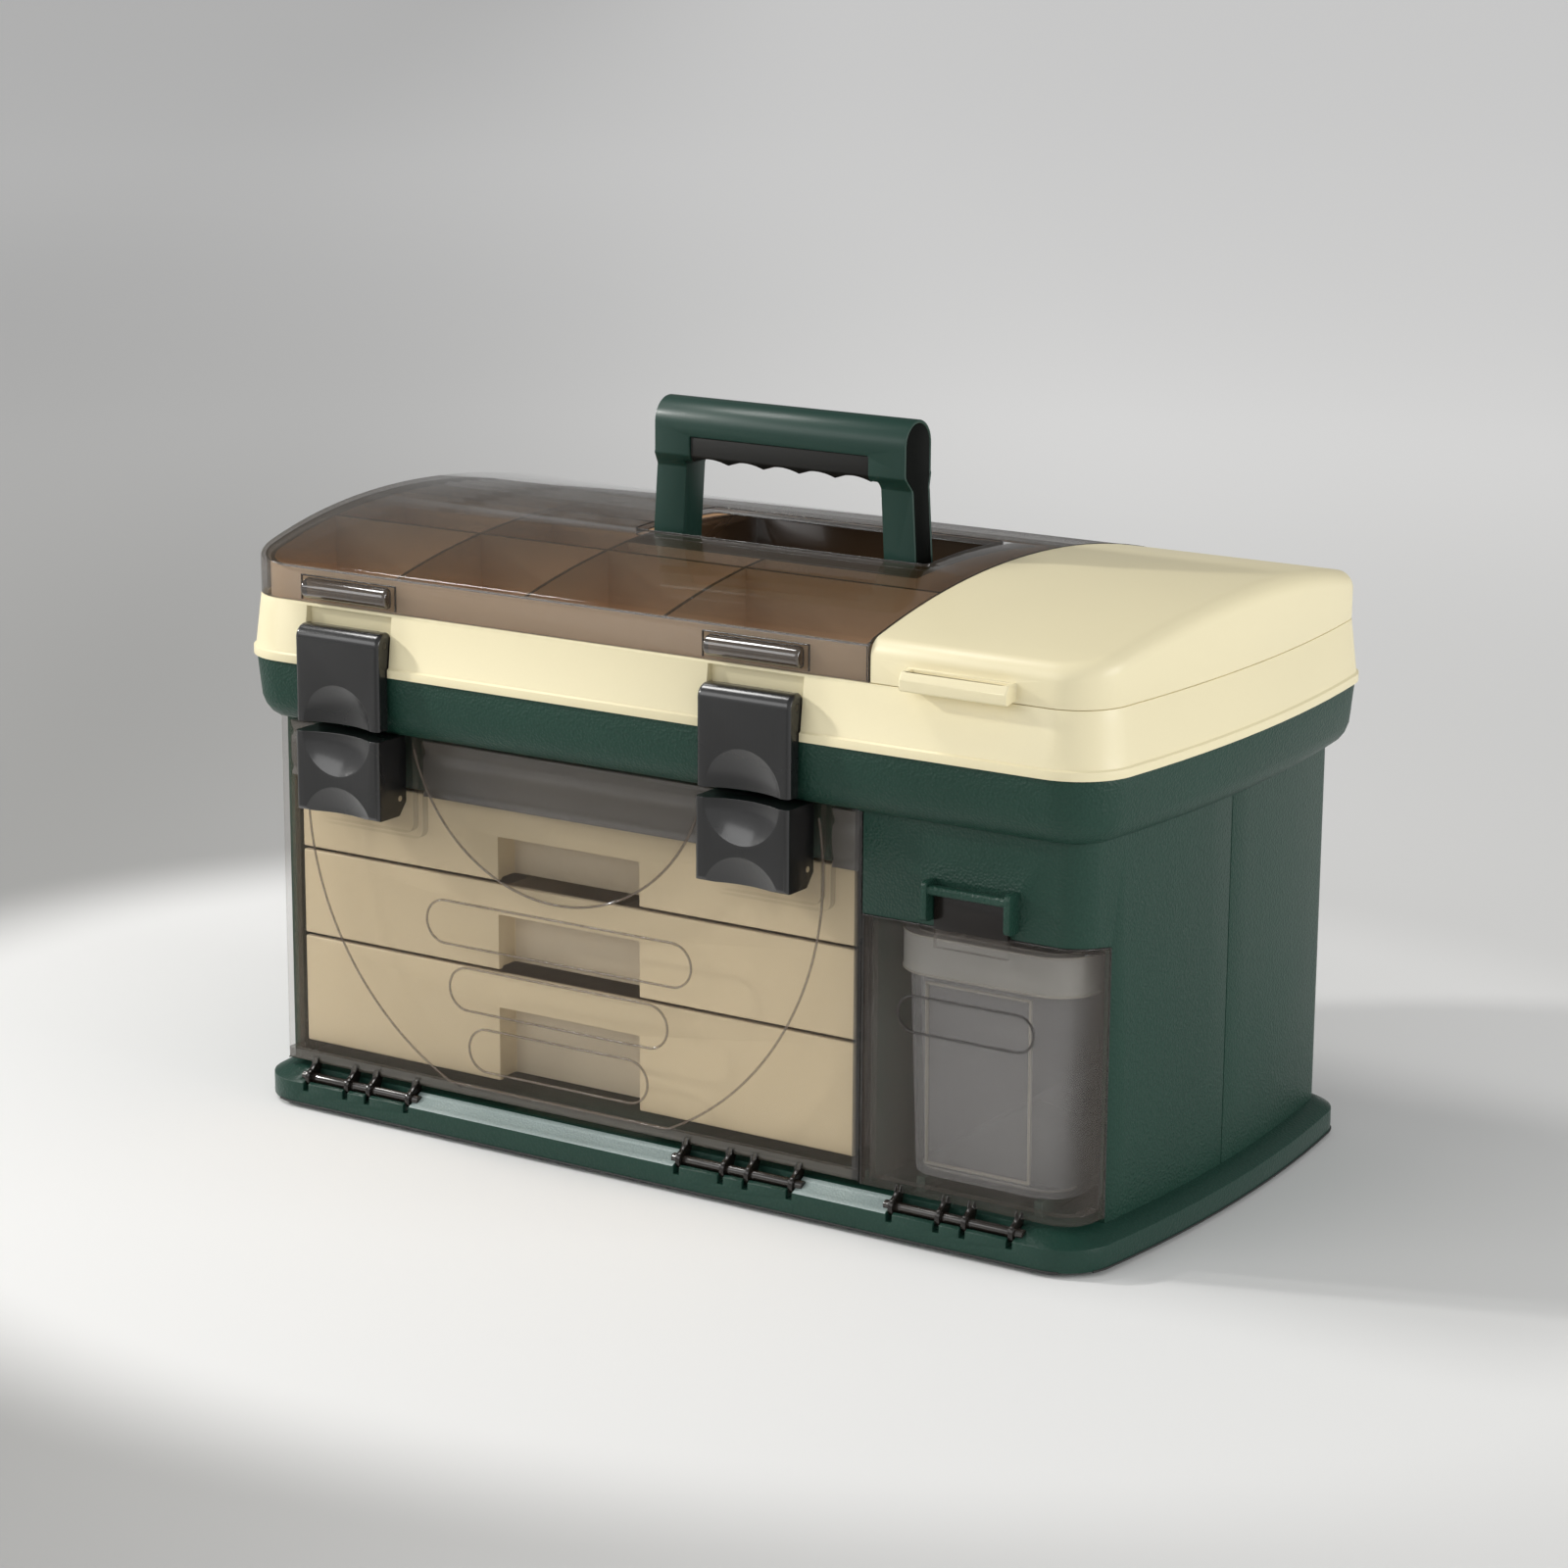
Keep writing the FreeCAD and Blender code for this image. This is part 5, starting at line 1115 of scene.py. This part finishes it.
@dataclass
class Studio:
    """Floor, lights and camera.

    Attributes:
        shop: the workshop.
        azimuth: the camera's place round the cabinet in degrees, from the front to the right.
        elevation: its height over the horizon in degrees.
        roll: its turn about its own line of sight in degrees.
        distance: its distance from the target in metres.
        lens: focal length in millimetres.
        target: what it looks at.
        floor_radius: radius of the floor in metres.
        painted_pool: half width and half depth of the bright patch of light painted on the floor, in metres.
        painted_pool_edge: shares of the patch's size between which it fades.
        painted_pool_tone: tone of that painted patch of light.
        beside: where the floor's tone changes from left to right, in metres along the camera's right; its
            darker left side is painted shade.
        beside_tones: its tones there.
        away: distances in metres between which it brightens.
        away_tone: its tone far away.
        painted_glow: where the faint light that the floor emits, though it is no lamp, grows from left to
            right, in metres.
        painted_glow_tones: its tones there.
        painted_glow_start: distances in metres between which it sets in.
        lean: direction in which the room brightens.
        room: how much it brightens that way, and its middle strength.
        lamp_aim: height in metres that the lamps look at.
        lamps: the soft lights.
    """

    shop: Workshop
    azimuth: float = 32.856
    elevation: float = 13.896
    roll: float = 0.351
    distance: float = 1.69735
    lens: float = 93.58
    target: Corner = (65.68, 0.0, 184.90)
    floor_radius: float = 14.0
    painted_pool: Span = (0.52, 0.43)
    painted_pool_edge: Span = (0.88, 1.12)
    painted_pool_tone: Tone = (0.90, 0.90, 0.895, 1.0)
    beside: Span = (-0.5, 0.35)
    beside_tones: tuple[Tone, Tone] = ((0.35, 0.35, 0.345, 1.0), (0.82, 0.82, 0.815, 1.0))
    away: Span = (0.7, 5.0)
    away_tone: Tone = (0.98, 0.98, 0.98, 1.0)
    painted_glow: Span = (-1.0, 0.2)
    painted_glow_tones: tuple[Tone, Tone] = ((0.085, 0.085, 0.085, 1.0), (0.225, 0.225, 0.225, 1.0))
    painted_glow_start: Span = (0.6, 2.2)
    lean: Corner = (0.45, -0.85, -0.80)
    room: Span = (0.30, 0.53)
    lamp_aim: float = 0.15
    lamps: tuple[Lamp, ...] = (
        Lamp("key_left", (-0.84, -0.36, 0.42), 2.6, (0.16, 0.16), 31.0, (1.0, 0.985, 0.96)),
        Lamp("soft_top_left", (-0.53, -0.15, 0.83), 1.9, (0.46, 0.42), 10.0, (1.0, 0.99, 0.97)),
        Lamp("front_fill", (-0.40, -0.82, 0.40), 2.3, (1.6, 0.8), 9.5),
        Lamp("right_fill", (0.96, 0.10, 0.24), 2.3, (1.2, 0.8), 19.0),
    )

    def build(self) -> None:
        """Make the whole studio."""
        bpy.context.scene.view_settings.view_transform = "Standard"
        self.floor()
        for lamp in self.lamps:
            self.light(lamp)
        self.world()
        self.camera()

    def floor(self) -> None:
        """Lay a pale floor whose colour paints a bright patch of light, a shaded left side and faint emitted
        light, greying away from the object.
        """
        mesh = bpy.data.meshes.new("floor")
        bench = bmesh.new()
        bmesh.ops.create_circle(bench, cap_ends=True, radius=self.floor_radius, segments=96)
        bench.to_mesh(mesh)
        bench.free()
        mesh.materials.append(self.floor_paper_painted_light())
        self.shop.placed("floor", mesh)

    def floor_paper_painted_light(self) -> Material:
        """Build the floor's material, whose colours and emission paint its light and shade.

        Returns:
            The material.
        """
        material = bpy.data.materials.new("floor_paper_painted_light")
        material.use_nodes = True
        net = Net(material.node_tree)
        place = net.add("ShaderNodeTexCoord", "Object")
        turn = math.radians(self.azimuth)
        sideways = (math.cos(turn), math.sin(turn), 0.0)
        across = net.vector("DOT_PRODUCT", "Value", {0: place, 1: sideways})
        reach = net.vector("LENGTH", "Value", {0: place})
        stretch = (1 / self.painted_pool[0], 1 / self.painted_pool[1], 1.0)
        inside = net.vector("LENGTH", "Value", {0: net.vector("MULTIPLY", "Vector", {0: place, 1: stretch})})
        # Painted light and shade: a darker left side, a bright patch round the cabinet and faint emitted
        # light.
        beside = net.mix(net.step(across, self.beside), *self.beside_tones)
        away = net.mix(net.step(reach, self.away), beside, self.away_tone)
        painted_glow = net.mix(net.step(across, self.painted_glow), *self.painted_glow_tones)
        paper = {
            "Roughness": 0.7,
            "Base Color": net.mix(net.step(inside, self.painted_pool_edge), self.painted_pool_tone, away),
            "Emission Color": net.mix(net.step(reach, self.painted_glow_start), (0.0, 0.0, 0.0, 1.0), painted_glow),
            "Emission Strength": 1.0,
        }
        net.feed(material.node_tree.nodes["Principled BSDF"], paper)
        return material

    def light(self, lamp: Lamp) -> None:
        """Hang one soft light.

        Args:
            lamp: its description.
        """
        data = bpy.data.lights.new(lamp.name, "AREA")
        data.shape = "RECTANGLE"
        data.size, data.size_y = lamp.size
        data.energy = lamp.power
        data.color = lamp.tint
        light = self.shop.placed(lamp.name, data)
        towards = Vector(lamp.towards).normalized()
        light.location = towards * lamp.distance + Vector((0.0, 0.0, self.lamp_aim))
        light.rotation_euler = (-towards).to_track_quat("-Z", "Y").to_euler()

    def world(self) -> None:
        """Fill the room with a soft grey, a little brighter in front and darker behind and above."""
        world = bpy.data.worlds.new("room")
        world.use_nodes = True
        net = Net(world.node_tree)
        around = net.add("ShaderNodeTexCoord", "Generated")
        lean = net.vector("DOT_PRODUCT", "Value", {0: around, 1: self.lean})
        strength = {0: lean, 1: self.room[0], 2: self.room[1]}
        tone = net.add("ShaderNodeMath", "Value", strength, operation="MULTIPLY_ADD")
        net.feed(world.node_tree.nodes["Background"], {"Strength": tone, "Color": (1.0, 1.0, 0.995, 1.0)})
        bpy.context.scene.world = world

    def camera(self) -> None:
        """Place the camera round the front right corner."""
        angles = (self.azimuth, self.elevation, self.roll)
        azimuth, elevation, roll = (math.radians(angle) for angle in angles)
        level = math.cos(elevation)
        back = Vector((math.sin(azimuth) * level, -math.cos(azimuth) * level, math.sin(elevation)))
        right = Vector((math.cos(azimuth), math.sin(azimuth), 0.0))
        up = back.cross(right)
        turned_right = math.cos(roll) * right + math.sin(roll) * up
        turned_up = -math.sin(roll) * right + math.cos(roll) * up
        data = bpy.data.cameras.new("camera")
        data.lens = self.lens
        data.sensor_width = 36.0
        data.clip_end = 60.0
        camera = self.shop.placed("camera", data)
        matrix = Matrix((turned_right, turned_up, back)).transposed().to_4x4()
        matrix.translation = self.shop.spot(*self.target) + back * self.distance
        camera.matrix_world = matrix
        bpy.context.scene.camera = camera


def main() -> None:
    """Build the dressed cabinet and its studio."""
    logging.basicConfig(level=logging.INFO, format="%(message)s")
    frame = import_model()
    shop = Workshop(frame, Finishes())
    trees = Trees()
    for group in (Case, Lid, Handle, Latches, Doors, Drawers):
        group(shop, trees).build()
        LOG.info("built %s", group.__name__)
    Studio(shop).build()
    for name, body in shop.made:
        LOG.info("%s rides on %s", name, body)


if __name__ == "__main__":
    main()
